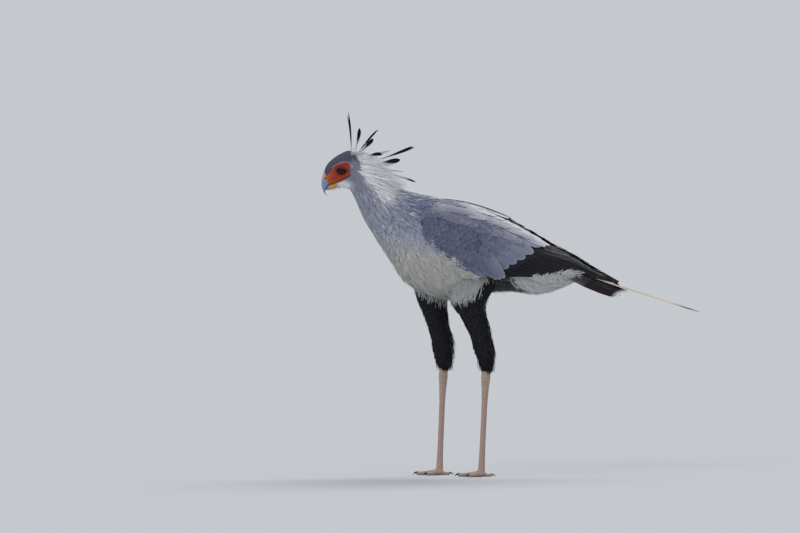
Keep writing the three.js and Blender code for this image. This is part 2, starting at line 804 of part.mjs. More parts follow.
function thighLocks(side) {
  return THIGH_LOCKS.map(([z, turn, length, width], i) => {
    const rows = thighRows(side);
    const k = rows.findIndex((row) => row[1] < z);
    const [above, below] = [rows[k - 1], rows[k]];
    const share = (above[1] - z) / (above[1] - below[1]);
    const [x, , fore, half] = above.map((value, j) => lerp(value, below[j], share));
    const angle = rad(180 - turn);
    const face = new THREE.Vector3(Math.cos(angle), side * Math.sin(angle), 0);
    const root = new THREE.Vector3(x, side * LEG_Y, z);
    root.x += (fore - 3) * face.x;
    root.y += (half - 3) * face.y;
    const direction = new THREE.Vector3(below[0] - above[0], 0, below[1] - above[1]).normalize();
    direction.addScaledVector(face, 0.2 + 0.05 * (i % 3));
    return lock(root, direction, length, width, 2, face);
  });
}

function thigh(side) {
  const locks = join(thighLocks(side)).subtract(tarsusRod(side, GAP));
  return largest(join([thighLoft(side), locks]).subtract(torsoRoom));
}

// A rod of round sections through points, raised in scutes on the side that faces `front`.
function scutedRod(points, radii, front, scutes, sides = 8, reach = 0) {
  const line = new THREE.CatmullRomCurve3(points);
  const rings = [];
  const rise = 0.13;
  const ring = (u, swell) => {
    const p = line.getPoint(u);
    const tangent = line.getTangent(u);
    const x = front.clone().addScaledVector(tangent, -front.dot(tangent)).normalize();
    const y = tangent.clone().cross(x);
    const k = u * (radii.length - 1);
    const i = Math.min(radii.length - 2, Math.floor(k));
    const r = lerp(radii[i], radii[i + 1], k - i);
    return Array.from({ length: sides }, (_, j) => {
      const angle = (2 * Math.PI * j) / sides;
      const facing = Math.max(0, Math.cos(angle));
      const reach = r * (1 + swell * rise * facing);
      return p
        .clone()
        .addScaledVector(x, reach * Math.cos(angle))
        .addScaledVector(y, reach * Math.sin(angle));
    });
  };
  rings.push(ring(0, 0));
  for (let s = 0; s < scutes; s += 1) {
    rings.push(ring((s + 0.12) / scutes, 0));
    rings.push(ring((s + 0.95) / scutes, 1));
  }
  rings.push(ring(1, 0));
  return tube(rings, reach);
}

const legOf = (side) => (side < 0 ? FOOT_LEFT : FOOT_RIGHT);
const footCentre = (side) => new THREE.Vector3(legOf(side).foot, side * FOOT_Y, TOE_JOINT_Z);

function tarsusRod(side, grow = 0) {
  const { ankle, foot } = legOf(side);
  const top = new THREE.Vector3(ankle, side * LEG_Y, ANKLE_Z + 22);
  const bottom = new THREE.Vector3(foot, side * FOOT_Y, 16);
  const points = [0, 0.33, 0.66, 1].map((u) => top.clone().lerp(bottom, u));
  const { knob, shank, foot: base, scutes } = TARSUS;
  const radii = [9, knob, shank + 2, shank, shank, shank, shank, shank + 0.6, base];
  const grown = radii.map((r) => r + grow);
  return scutedRod(points, grown, new THREE.Vector3(-1, 0, 0), scutes, 8, grow);
}

function tarsus(side) {
  return largest(tarsusRod(side).subtract(thighRoom(side)));
}

function toeLine(side, [turn, length, radius]) {
  const heading = rad(180 + mirrored(-side, turn));
  const forward = new THREE.Vector3(Math.cos(heading), Math.sin(heading), 0);
  const start = footCentre(side).add(new THREE.Vector3(0, 0, 4));
  const knuckle = start.clone().addScaledVector(forward, length * 0.45).setZ(radius * 0.94);
  const end = start.clone().addScaledVector(forward, length).setZ(radius * 0.62);
  return { start, knuckle, end, forward };
}

function toe(side, spec) {
  const [, , radius, scutes] = spec;
  const { start, knuckle, end } = toeLine(side, spec);
  const radii = [radius * 1.25, radius, radius * 1.05, radius * 0.82, radius * 0.7];
  return scutedRod([start, knuckle, end], radii, new THREE.Vector3(0, 0, 1), scutes, 6);
}

const FLOOR_PLANE = { through: [0, 0, 0], normal: [0, 0, 1] };

function foot(side) {
  const centre = footCentre(side);
  const pad = ellipsoid([centre.x - 4, centre.y, 10], [17, 14, 10.5], 0, 8);
  const webs = [TOES.inner, TOES.outer].map((spec) => {
    const middle = toeLine(side, TOES.middle);
    const outer = toeLine(side, spec);
    const corner = middle.start.clone().lerp(middle.end, 0.42);
    const other = outer.start.clone().lerp(outer.end, 0.5);
    const grids = [8, 2].map((z) => [
      [centre.clone().setZ(z), corner.clone().setZ(z)],
      [other.clone().setZ(z), corner.clone().lerp(other, 0.5).lerp(centre, 0.18).setZ(z)],
    ]);
    return plate(...grids);
  });
  const toes = Object.values(TOES).map((spec) => toe(side, spec));
  const claws = Object.values(TOES).map((spec) => clawBody(side, spec, GAP + 0.1));
  const joined = cutByPlane(join([pad, ...webs, ...toes]), FLOOR_PLANE, 1, 0);
  const clear = joined.subtract(join(claws)).subtract(tarsusRod(side, GAP));
  return largest(clear);
}

function clawBody(side, spec, grow = 0) {
  const [, , radius] = spec;
  const { end, forward } = toeLine(side, spec);
  const reach = CLAW.length * (spec === TOES.hind ? 1.1 : 1);
  const rings = [];
  for (let i = 0; i <= 4; i += 1) {
    const u = i / 4;
    const bend = u * 1.25;
    const p = end
      .clone()
      .addScaledVector(forward, -3 + reach * Math.sin(bend) * 0.9)
      .setZ(radius * 0.62 + 1.6 + 2.2 * Math.sin(u * Math.PI) - 4.4 * u * u);
    const r = Math.max(0.5, CLAW.radius * (1 - 0.88 * u) * (radius / 7)) + grow;
    const across = new THREE.Vector3(-forward.y, forward.x, 0);
    const up = new THREE.Vector3(0, 0, 1)
      .multiplyScalar(Math.cos(bend * 0.6))
      .addScaledVector(forward, Math.sin(bend * 0.6));
    rings.push(
      Array.from({ length: 6 }, (_, j) => {
        const angle = (2 * Math.PI * j) / 6;
        return p
          .clone()
          .addScaledVector(across, r * 0.8 * Math.cos(angle))
          .addScaledVector(up, r * Math.sin(angle));
      }),
    );
  }
  return tube(rings, grow);
}

const claw = (side, spec) => largest(cutByPlane(clawBody(side, spec), FLOOR_PLANE, 1, 0));

// The bird

const MATERIALS = {
  grey: { color: 0x8d8fa3, roughness: 0.85 },
  pale: { color: 0xb9bac4, roughness: 0.9 },
  white: { color: 0xdcdbe0, roughness: 0.9 },
  black: { color: 0x1b1a22, roughness: 0.8 },
  horn: { color: 0x7f93ad, roughness: 0.45 },
  eye: { color: 0x1a1210, roughness: 0.1 },
  leg: { color: 0xb59a8c, roughness: 0.7 },
  claw: { color: 0x2a2624, roughness: 0.5 },
};

const bird = new THREE.Group();

function add(name, solid, finish) {
  const tidy = largest(solid.simplify(0.03));
  const { vertProperties, triVerts, numProp } = tidy.getMesh();
  if (numProp !== 3) throw new Error(name + " holds more than positions");
  const geometry = new THREE.BufferGeometry();
  geometry.setAttribute("position", new THREE.BufferAttribute(new Float32Array(vertProperties), 3));
  geometry.setIndex(new THREE.BufferAttribute(new Uint32Array(triVerts), 1));
  geometry.computeVertexNormals();
  const mesh = new THREE.Mesh(geometry, new THREE.MeshStandardMaterial(MATERIALS[finish]));
  mesh.name = name;
  bird.add(mesh);
}

add("head", head(), "grey");
add("upper_bill", upperBill(), "horn");
add("lower_bill", lowerBill(), "horn");
add("neck", neck(), "pale");
add("torso", torso(), "pale");
add("tail", tail(), "black");
for (const [side, word] of [
  [LEFT, "left"],
  [RIGHT, "right"],
]) {
  add("eye_" + word, eye(side), "eye");
  add("wing_" + word, wing(side), "grey");
  add("thigh_" + word, thigh(side), "black");
  add("tarsus_" + word, tarsus(side), "leg");
  add("foot_" + word, foot(side), "leg");
  for (const [name, spec] of Object.entries(TOES)) {
    add(`claw_${word}_${name}`, claw(side, spec), "claw");
  }
}

export default bird;
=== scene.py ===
"""The looks of a standing secretary bird at life size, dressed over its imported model.

The bird faces -X, its left side is -Y and it stands on z = 0. Tables of sizes are in millimetres,
in the model's own frame, and meshes are made in metres.
"""

import math

import bpy
import numpy as np
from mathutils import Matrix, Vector, kdtree


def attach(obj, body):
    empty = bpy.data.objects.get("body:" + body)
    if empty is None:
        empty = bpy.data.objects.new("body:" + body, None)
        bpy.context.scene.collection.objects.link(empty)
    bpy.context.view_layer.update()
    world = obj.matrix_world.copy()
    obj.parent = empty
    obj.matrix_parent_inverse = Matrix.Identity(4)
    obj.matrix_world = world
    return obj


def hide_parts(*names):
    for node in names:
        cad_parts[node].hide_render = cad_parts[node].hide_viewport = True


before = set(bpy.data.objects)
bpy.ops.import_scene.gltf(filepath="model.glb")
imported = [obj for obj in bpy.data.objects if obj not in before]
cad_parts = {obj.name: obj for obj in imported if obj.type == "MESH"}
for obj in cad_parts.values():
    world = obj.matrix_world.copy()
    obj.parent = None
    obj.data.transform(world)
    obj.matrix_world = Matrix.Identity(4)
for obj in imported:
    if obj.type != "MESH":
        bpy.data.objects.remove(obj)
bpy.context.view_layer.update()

MM = 0.001
LEFT, RIGHT = -1, 1
SIDES = {LEFT: "left", RIGHT: "right"}
PI = math.pi

# Driving sizes, as the solids have them

# Head, neck and torso: the top line's x and z, the bottom line's x and z, and half the width.
BODY = [
    [-575, 905, -554, 858, 11], [-564, 915, -541, 864, 14], [-553, 936, -534, 864, 19.5],
    [-534, 954, -526, 867, 25.5], [-513, 967, -519, 867, 29], [-489, 976, -504, 864, 30],
    [-465, 966, -489, 861, 30], [-438, 948, -480, 851, 31], [-408, 924, -468, 828, 34],
    [-381, 897, -453, 793, 40], [-357, 874, -435, 757, 50], [-324, 857, -399, 702, 67],
    [-276, 845, -363, 648, 85], [-216, 832, -321, 588, 97], [-156, 815, -255, 552, 101],
    [-90, 786, -177, 537, 99], [-27, 750, -90, 552, 89], [30, 710, -3, 558, 70],
    [90, 668, 75, 548, 50], [144, 632, 144, 566, 32], [186, 608, 186, 586, 14],
]
HEAD_FULLNESS = 0.16  # how much wider a section is above its middle
BODY_END = len(BODY) - 1

# The folded wing's outer surface, from the shoulder to the tip, in the same kind of rows.
WING = [
    [-297, 770, -282, 690, 70], [-282, 786, -276, 706, 82], [-246, 817, -249, 670, 97],
    [-198, 822, -192, 634, 106], [-138, 811, -120, 605, 111], [-72, 789, -42, 588, 110],
    [-12, 762, 30, 597, 102], [48, 732, 99, 590, 88], [108, 699, 153, 603, 72],
    [180, 663, 216, 600, 54], [252, 619, 273, 585, 38], [309, 584, 312, 576, 30],
]
WING_TOP_GAP = 3  # from the middle of the back to the wing's upper edge
WING_WIDEST = 0.55
WING_TUCK = 0.15  # more than the solids' own, so that the lower edge lies on the breast
WING_CORE = [6, 6, 5.5, 4.5, 3.5, 2, 0, -2.5, -4.5, -4.5, -4.5, -4.5]
# The right wing's long feathers reach further back, and its upper edge lies higher.
FAR_WING_REACH = 1.16
FAR_WING_RISE = 8

UPPER_BILL = [
    [-554, 920, -532, 886, 15], [-565, 912, -542, 879, 13.5], [-569.5, 897, -549, 870, 11.6],
    [-571.5, 881, -555.5, 862, 9.2], [-570.5, 867, -560, 854.5, 6.8],
    [-566.5, 855, -559.5, 849.5, 4.6], [-561.5, 845.5, -556, 844.5, 3.2],
    [-554, 839, -551.5, 841.5, 1.5],
]
LOWER_BILL = [
    [-528, 888, -524, 866, 14.5], [-536, 883, -533, 862, 13], [-544, 878, -541.5, 859.5, 10.8],
    [-551, 872, -548, 858, 7.8], [-556, 866, -553.5, 858, 4.4], [-558.5, 862, -557, 858.5, 1.6],
]
NOSTRIL = {"at": (-559, 893), "length": 5.0, "height": 2.2, "tilt": -0.75}
EYE = {"x": -512, "y": 21.5, "z": 915, "radius": 10.2, "tilt": -0.12}

TAIL = {"x": 128, "z": 636, "slope": -19.5, "arch": 44, "root_arch": 26}
TAIL_LENGTH = 236
STREAMER_TIP = (567, 491)

# Thighs: x, z, half-length fore and aft, and half-width.
THIGHS = {
    LEFT: [
        [-130, 655, 60, 26], [-120, 610, 68, 31], [-114, 580, 66, 35], [-128, 540, 57, 36],
        [-129, 512, 48, 34], [-115, 477, 38, 30], [-95, 423, 31, 26], [-84, 378, 29, 24],
        [-79, 345, 22, 19], [-77, 326, 14, 13],
    ],
    RIGHT: [
        [-228, 655, 52, 26], [-238, 600, 54, 32], [-241, 560, 50, 36], [-240, 528, 44, 36],
        [-233, 495, 37, 33], [-223, 456, 32, 28], [-211, 414, 31, 25], [-207, 378, 30, 24],
        [-205, 345, 23, 19], [-204, 326, 14, 13],
    ],
}
LEG_Y = 54
FOOT_Y = 50
ANKLE_Z = 318
LEGS = {LEFT: {"ankle": -77, "foot": -92}, RIGHT: {"ankle": -204, "foot": -217}}
TARSUS_RADII = [9, 13.5, 10.2, 8.2, 8.2, 8.2, 8.2, 8.8, 10.5]
TOE_JOINT_Z = 9
# Toes: heading from straight ahead in degrees, length and radius.
TOES = {
    "middle": (0, 66, 7), "inner": (38, 47, 6.4), "outer": (-36, 46, 6.2), "hind": (180, 27, 5.6),
}
# A toe's radius along it, as shares of its length and of its radius.
TOE_SHAPE = [(0, 0.25, 0.5, 0.75, 0.9, 0.95, 0.98, 1), (1.25, 1, 1.05, 0.85, 0.76, 0.66, 0.5, 0.22)]
TOE_PAST_CLAW = 3.5
CLAW_LENGTH = 19
CLAW_RADIUS = 4.3


# Numbers

def smooth(x, low, high):
    """0 below low and 1 above high, with an even curve between."""
    t = np.clip((np.asarray(x, float) - low) / (high - low), 0, 1)
    return t * t * (3 - 2 * t)


def lerp(a, b, t):
    return a + (b - a) * t


def unit(v):
    """Vectors of the same direction and length 1."""
    return v / np.maximum(np.linalg.norm(v, axis=-1, keepdims=True), 1e-9)


def dot(a, b):
    return np.sum(a * b, axis=-1)


def read_rows(rows, at):
    """A smooth curve through rows of numbers, read at places from 0 to the last row."""
    rows = np.asarray(rows, float)
    at = np.asarray(at, float)
    i = np.clip(np.floor(at), 0, len(rows) - 2).astype(int)
    f = (at - i)[..., None]
    here, after = rows[i], rows[i + 1]
    start = (after - rows[np.maximum(i - 1, 0)]) / 2
    bend = (rows[np.minimum(i + 2, len(rows) - 1)] - here) / 2
    rise = after - here
    values = here + f * (start + f * (3 * rise - 2 * start - bend + f * (start + bend - 2 * rise)))
    return np.moveaxis(values, -1, 0)


def to_segment(x, z, a, b):
    """How far points of the profile are from the line between two others."""
    along = np.array(b, float) - np.array(a, float)
    t = np.clip(((x - a[0]) * along[0] + (z - a[1]) * along[1]) / (along @ along), 0, 1)
    return np.hypot(x - a[0] - t * along[0], z - a[1] - t * along[1])


def inside(x, z, outline):
    """How deep points of the profile lie in a closed outline, and below 0 outside it."""
    ring = outline + outline[:1]
    away = np.min([to_segment(x, z, a, b) for a, b in zip(ring, ring[1:])], axis=0)
    crossings = np.zeros(np.shape(x), int)
    for (ax, az), (bx, bz) in zip(ring, ring[1:]):
        spans = (az > z) != (bz > z)
        crossings += spans & (x < ax + (bx - ax) * (z - az) / (bz - az + 1e-9))
    return np.where(crossings % 2, away, -away)


# Surfaces

class Surface:
    """A surface read at two numbers. Its normal is the cross of both tangents, turned outwards."""

    def __init__(self, point, end, outward=1):
        self.point = point
        self.end = end
        self.outward = outward

    def tangents(self, u, v, step=2e-3):
        along = (self.point(u + step, v) - self.point(u - step, v)) / (2 * step)
        across = (self.point(u, v + step) - self.point(u, v - step)) / (2 * step)
        return along, across

    def frame(self, u, v):
        along, across = self.tangents(u, v)
        return self.point(u, v), along, across, unit(np.cross(along, across)) * self.outward

    def place(self, u, v, lift=0.0):
        point, _, _, normal = self.frame(u, v)
        return point + normal * np.asarray(lift, float)[..., None]

    @staticmethod
    def steps(along, across, direction):
        """The two numbers' change for one millimetre in a direction of the tangent plane."""
        a, b, c = dot(along, along), dot(along, across), dot(across, across)
        p, q = dot(direction, along), dot(direction, across)
        whole = np.maximum(a * c - b * b, 1e-9)
        return np.stack([(p * c - q * b) / whole, (q * a - p * b) / whole], -1)


def body_point(at, angle):
    """A point of head, neck and torso, by its row and the angle from the top."""
    tx, tz, bx, bz, half = read_rows(BODY, at)
    fullness = HEAD_FULLNESS * np.clip((8 - at) / 3, 0.35, 1)
    up, side = np.cos(angle), np.sin(angle)
    return np.stack(
        [
            (tx + bx) / 2 + (tx - bx) / 2 * up,
            half * side * (1 + fullness * up),
            (tz + bz) / 2 + (tz - bz) / 2 * up,
        ],
        -1,
    )


def wing_drop(turn):
    """The share of the way down the wing at a turn round its section, 0 at its upper edge."""
    over = turn < PI / 2
    return WING_WIDEST * np.where(over, 1 - np.cos(np.maximum(turn, 0)), 1 + turn - PI / 2)


def wing_surface(side):
    """The outer side of one folded wing, by how far along it and the turn round it."""
    def point(along, turn):
        tx, tz, bx, bz, half = read_rows(WING, along)
        turn = np.maximum(turn, 0.02)
        down = wing_drop(turn)
        tuck = WING_TUCK * (np.maximum(down - WING_WIDEST, 0) / (1 - WING_WIDEST)) ** 2
        rise = np.where(turn < PI / 2, np.sin(turn), 1 - tuck)
        z = tz + (bz - tz) * down
        if side == RIGHT:
            z = z + FAR_WING_RISE * np.clip((along - 3) / 3, 0, 1) * np.clip(1 - 0.5 * down, 0, 1)
        y = side * (WING_TOP_GAP + (half - WING_TOP_GAP) * rise)
        return np.stack([tx + (bx - tx) * down, y, z], -1)

    return Surface(point, len(WING) - 1, outward=side)


def wing_place(x, z):
    """Where points of the profile lie on the wing: how far along it, and the turn round it."""
    x, z = np.asarray(x, float), np.asarray(z, float)

    def off(at):
        tx, tz, bx, bz, _ = read_rows(WING, at)
        return (bx - tx) * (z - tz) - (bz - tz) * (x - tx)

    low, high = np.full(x.shape, -0.9), np.full(x.shape, len(WING) - 0.1)
    sign = np.sign(off(low))
    for _ in range(30):
        middle = (low + high) / 2
        before = np.sign(off(middle)) == sign
        low, high = np.where(before, middle, low), np.where(before, high, middle)
    tx, tz, bx, bz, _ = read_rows(WING, low)
    down = ((x - tx) * (bx - tx) + (z - tz) * (bz - tz)) / ((bx - tx) ** 2 + (bz - tz) ** 2)
    over = np.arccos(1 - np.clip(down, 0, WING_WIDEST) / WING_WIDEST)
    return low, np.where(down < WING_WIDEST, over, PI / 2 + down / WING_WIDEST - 1), down


def wing_core(along):
    """How far the wing's plumage stands off its surface, most at the shoulder."""
    return np.interp(along, range(len(WING_CORE)), WING_CORE)


def tail_point(along, angle):
    """A point of the arched tail, by millimetres along it and the angle across."""
    slope = math.radians(TAIL["slope"])
    arch = lerp(TAIL["root_arch"], TAIL["arch"], np.clip(along / 120, 0, 1))
    up = arch * np.cos(angle) - arch
    x = TAIL["x"] + along * math.cos(slope) - up * math.sin(slope)
    z = TAIL["z"] + along * math.sin(slope) + up * math.cos(slope)
    return np.stack([x, arch * np.sin(angle), z], -1)


def thigh_surface(side):
    """One thigh, by its row and the angle from its rear."""
    def point(at, angle):
        x, z, fore, half = read_rows(THIGHS[side], at)
        y = side * LEG_Y + half * np.sin(angle)
        return np.stack([x + fore * np.cos(angle), y, z], -1)

    return Surface(point, len(THIGHS[side]) - 1)


body = Surface(body_point, BODY_END)
tail = Surface(tail_point, TAIL_LENGTH)
wings = {side: wing_surface(side) for side in SIDES}
thighs = {side: thigh_surface(side) for side in SIDES}


# Colours, given as a screen shows them

def tone(red, green, blue):
    """A colour from the three numbers that a screen shows it with."""
    values = np.array([red, green, blue]) / 255
    return np.where(values > 0.04045, ((values + 0.055) / 1.055) ** 2.4, values / 12.92)


SLATE = tone(86, 80, 104)
EAR_GREY = tone(132, 134, 154)
LAVENDER = tone(142, 146, 168)
MANTLE = tone(100, 105, 136)
# SILVER is a grey of the plumage, and also the painted highlight along the top of the back and
# wings.
SILVER = tone(204, 204, 212)
BREAST = tone(160, 167, 184)
WHITE = tone(250, 249, 252)
CREAM = tone(180, 179, 172)
UNDERTAIL = tone(206, 206, 208)
NIGHT = tone(25, 25, 33)
SOOT = tone(19, 19, 25)
# The brown-grey sheen painted on the flight feathers' edges.
PAINTED_SHEEN = tone(92, 84, 84)
STREAM = tone(204, 190, 166)
STREAM_EDGE = tone(150, 116, 102)
SCARLET = tone(172, 44, 28)
ORANGE = tone(192, 84, 34)
YELLOW = tone(200, 142, 54)
GAPE = tone(30, 16, 14)
LASH = tone(10, 9, 10)
LEG_PALE = tone(176, 152, 138)


def blend(a, b, t):
    """From one colour to another, by a share for each place."""
    return a + (b - a) * np.asarray(t, float)[..., None]


# The bare face in the profile, and the lines that divide it.
FACE = [
    (-560, 893), (-556, 901), (-545, 913), (-534, 928), (-516, 938), (-500, 941), (-492, 939.5),
    (-487, 933), (-486, 920), (-486.5, 910), (-484, 902), (-504, 888), (-526, 877), (-546, 868),
    (-556, 868), (-566, 880),
]
GAPE_LINE = ((-549, 872), (-485, 902))


def bare(x, z, y):
    """How bare the skin is: 1 on the face, 0 where feathers grow."""
    return smooth(inside(x, z, FACE), -1.2, 1.2) * smooth(np.abs(y), 7, 11)


# The black behind the thigh, under the wing, in the profile.
BLACK_FLANK = [(-120, 625), (-46, 628), (-30, 600), (-20, 576), (8, 556), (-10, 542), (-70, 536),
               (-130, 536)]


def body_colour(at, angle):
    """The markings of head, neck and torso, the same for skin and feathers, with a painted
    highlight along the back's top line.
    """
    x, _, z = np.moveaxis(body_point(at, angle), -1, 0)
    turn = np.degrees(np.abs((angle + PI) % (2 * PI) - PI))
    colour = np.broadcast_to(LAVENDER, turn.shape + (3,)).copy()
    colour = blend(colour, BREAST, smooth(turn, 70, 130) * smooth(at, 7.5, 11))
    colour = blend(colour, BREAST, smooth(turn, 130, 165) * smooth(at, 5, 7) * 0.7)
    colour = blend(colour, MANTLE, (1 - smooth(turn, 45, 85)) * smooth(at, 9.8, 11.2))
    # Painted highlight: the back's top line is painted silver where the light from above falls.
    colour = blend(colour, SILVER, (1 - smooth(turn, 4, 20)) * smooth(at, 10, 11) * 0.7)
    belly = smooth(turn + 9 * (at - 11), 92, 132) * smooth(at, 10.2, 12)
    colour = blend(colour, CREAM, belly)
    colour = blend(colour, UNDERTAIL, smooth(at, 15.2, 16.5))
    mane_start = smooth(at + turn / 90, 6.6, 7.2)
    mane_side = (1 - smooth(turn, 62, 96)) * mane_start
    colour = blend(colour, WHITE, mane_side * (1 - smooth(at, 9.2, 10.4)))
    crown = (1 - smooth(at + turn / 60, 6.7, 7.3)) * (1 - smooth(turn, 84, 98))
    colour = blend(colour, SLATE, crown)
    ear = smooth(x, -492, -484) * (1 - smooth(x, -462, -450)) * smooth(turn, 46, 58)
    colour = blend(colour, EAR_GREY, ear * (1 - smooth(turn, 112, 122)) * (1 - smooth(at, 7, 8)))
    chin = smooth(turn, 116, 140) * (1 - smooth(at, 4.6, 6.6))
    colour = blend(colour, WHITE, chin)
    stripe = (1 - smooth(np.abs(inside(x, z, FACE) + 2.0), 0.6, 2.2)) * smooth(z, 915, 935)
    colour = blend(colour, SILVER, stripe * 0.4 * (turn > 25))
    rump = smooth(at, 13.6, 14.6) * (1 - smooth(turn, 62, 84))
    colour = blend(colour, NIGHT, rump)
    patch = smooth(inside(x, z, BLACK_FLANK), -5, 4) * smooth(turn, 60, 80)
    return blend(colour, SOOT, patch)


def face_colour(x, z):
    """Scarlet round the eye, orange towards the bill and yellow along the jaw."""
    colour = blend(np.broadcast_to(SCARLET, np.shape(x) + (3,)), ORANGE, smooth(-x, 524, 552))
    above_gape = z - 902 - (x + 485) * 0.47
    colour = blend(colour, ORANGE, (1 - smooth(above_gape, 0, 12)) * 0.6)
    colour = blend(colour, YELLOW, (1 - smooth(above_gape, -2, 7)) * smooth(-x, 500, 535) * 0.75)
    return blend(colour, YELLOW, smooth(-x, 544, 560) * 0.25)


# The line that parts the cream flank from the black thigh, in the profile.
FLANK = [(-330, 640), (-283, 572), (-204, 545), (-142, 548), (-98, 571), (-88, 600), (-60, 640)]
FLANK_AREA = FLANK + [(-60, 900), (-330, 900)]


def thigh_colour(x, z):
    """Black, and pale where the flank's down hangs over the thigh."""
    pale = smooth(inside(x, z, FLANK_AREA), -6, 8)
    return blend(np.broadcast_to(SOOT, np.shape(x) + (3,)), CREAM, pale)


# Meshes

def ring_quads(rings, sides):
    """Four-cornered faces for a closed tube of rings. Each end is a fan from its last corner."""
    ring = np.arange(sides)
    following = (ring + 1) % sides
    walls = [
        np.stack([k * sides + ring, (k + 1) * sides + ring, (k + 1) * sides + following,
                  k * sides + following], -1)
        for k in range(rings - 1)
    ]
    k = np.arange(0, sides - 2, 2)
    last = np.full(k.shape, sides - 1)
    near = np.stack([last, k, k + 1, k + 2], -1)
    far = np.stack([last, k + 2, k + 1, k], -1) + (rings - 1) * sides
    return np.concatenate(walls + [near, far])


def enclosed(points, faces):
    """The volume inside each of many like pieces, below 0 where its faces look inwards."""
    a, b, c, d = (points[:, faces[:, k]] - points[:, :1] for k in range(4))
    return np.sum(dot(a, np.cross(b, c)) + dot(a, np.cross(c, d)), axis=1) / 6


class Mesh:
    """Vertices, faces and what the materials read, gathered from many small pieces."""

    def __init__(self):
        self.points, self.faces, self.places, self.colours, self.maps = [], [], [], [], []
        self.count = 0
        self.large = 0

    def add(self, points, faces, places, colours, maps):
        """Adds like pieces of (pieces, rings, sides, 3) points that share their faces."""
        pieces = points.reshape(len(points), -1, 3)
        starts = self.count + np.arange(len(pieces)) * pieces.shape[1]
        every = faces[None] + starts[:, None, None]
        inward = enclosed(pieces, faces) < 0
        every[inward] = every[inward, :, ::-1]
        self.points.append(points.reshape(-1, 3))
        self.faces.append(every.reshape(-1, 4))
        self.places.append(places.reshape(-1, 3))
        self.colours.append(colours.reshape(-1, 3))
        self.maps.append(maps.reshape(-1, 2))
        self.count += self.points[-1].shape[0]

    def tube(self, rings, colours):
        """One closed tube from (rings, sides, 3) points, coloured point by point."""
        count, sides = rings.shape[:2]
        along = np.broadcast_to(np.linspace(0, 1, count)[:, None], (count, sides))
        turn = np.broadcast_to(np.linspace(0, 1, sides)[None], (count, sides))
        places = np.stack([turn, along, np.zeros((count, sides))], -1)
        colours = np.broadcast_to(colours, rings.shape)
        self.add(rings[None], ring_quads(count, sides), places, colours, places[..., :2])

    def cells(self, count):
        """Places on the map for large feathers, in the half that holds no small ones."""
        k = np.arange(self.large, self.large + count)
        self.large += count
        return np.stack([0.5 + (k % 8 + 0.5) / 16, (k // 8 + 0.5) / 16], -1)

    def build(self, name, material, crease=50, coat=True):
        points = np.concatenate(self.points) * MM
        faces = np.concatenate(self.faces)
        mesh = bpy.data.meshes.new(name)
        mesh.vertices.add(len(points))
        mesh.vertices.foreach_set("co", points.astype(np.float32).ravel())
        mesh.loops.add(faces.size)
        mesh.loops.foreach_set("vertex_index", faces.astype(np.int32).ravel())
        mesh.polygons.add(len(faces))
        mesh.polygons.foreach_set("loop_start", np.arange(0, faces.size, 4, dtype=np.int32))
        mesh.update(calc_edges=True)
        mesh.shade_smooth()
        mesh.set_sharp_from_angle(angle=math.radians(crease))
        places = np.concatenate(self.places)
        mesh.attributes.new("place", "FLOAT_VECTOR", "POINT").data.foreach_set(
            "vector", places.astype(np.float32).ravel())
        colours = np.concatenate(self.colours)
        colours = np.concatenate([colours, np.ones((len(colours), 1))], 1)
        mesh.attributes.new("marking", "FLOAT_COLOR", "POINT").data.foreach_set(
            "color", colours.astype(np.float32).ravel())
        if coat:
            corners = np.concatenate(self.maps)[faces.ravel()]
            bake = mesh.uv_layers.new(name="OFBake")
            bake.data.foreach_set("uv", corners.astype(np.float32).ravel())
        mesh.materials.append(material)
        piece = bpy.data.objects.new(name, mesh)
        bpy.context.scene.collection.objects.link(piece)
        return piece

    def wear(self, name, finish, slot, nodes=(), **how):
        """Builds the piece and dresses the bird in it."""
        dress(self.build(name, FINISHES[finish], **how), nodes)


def dress(piece, nodes=()):
    """Rides a piece on the bird, and hides the imported nodes that it stands for."""
    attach(piece, "root")
    if nodes:
        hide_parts(*nodes)
    return piece


# Vanes

# Outlines: the share of a feather's length, and its half width there as a share of the widest.
OVATE = np.array([(0, 0.3), (0.22, 0.82), (0.55, 1), (0.82, 0.86), (1, 0.42)])
FINE = np.array([(0, 0.4), (0.3, 0.95), (0.62, 0.9), (0.86, 0.5), (1, 0.1)])
COVERT = np.array([(0, 0.25), (0.15, 0.72), (0.4, 0.97), (0.7, 1), (0.9, 0.82), (1, 0.5)])
QUILL = np.array([(0, 0.2), (0.06, 0.6), (0.2, 0.9), (0.5, 1), (0.75, 0.97), (0.9, 0.8),
                  (0.97, 0.52), (1, 0.25)])
LANCE = np.array([(0, 0.5), (0.3, 1), (0.65, 0.8), (1, 0.12)])
LANCE_FINE = np.array([(0, 0.5), (0.15, 0.6), (0.35, 0.7), (0.55, 0.9), (0.72, 1), (0.86, 0.8),
                       (0.95, 0.45), (1, 0.12)])
LOCK = np.array([(0, 0.4), (0.3, 1), (0.7, 0.62), (1, 0.06)])
PLUME = np.array([(0, 0.3), (0.2, 0.3), (0.42, 0.34), (0.58, 0.6), (0.74, 0.95), (0.88, 1),
                  (0.96, 0.7), (1, 0.22)])
STREAMER = np.array([(0, 0.5), (0.2, 0.7), (0.45, 0.9), (0.65, 1), (0.8, 1), (0.92, 0.85),
                     (0.98, 0.5), (1, 0.2)])

# Sections: the share of the half width, and of the half thickness.
LEAF = np.array([(-1, 0), (0, 1), (1, 0), (0, -1)])
ARCHED = np.array([(-1, 0), (-0.5, 0.8), (0, 1), (0.5, 0.8), (1, 0), (0, -0.6)])
SHAFTED = np.array([(-1, 0), (-0.55, 0.8), (-0.06, 0.9), (0, 2.2), (0.06, 0.9), (0.55, 0.8), (1, 0),
                    (0, -0.6)])

PATCH = 0.003  # how large a tuft's patch is on the map for baking
LARGE_PATCH = 0.05

# How many loose locks there are in each place where they are strewn
BELLY_LOCKS = 1100
THIGH_HAIRS = 420
FLANK_LOCKS = 1000
HEM_LOCKS = 900
MANE_LOCKS = 4400
CREST_LOCKS = 300


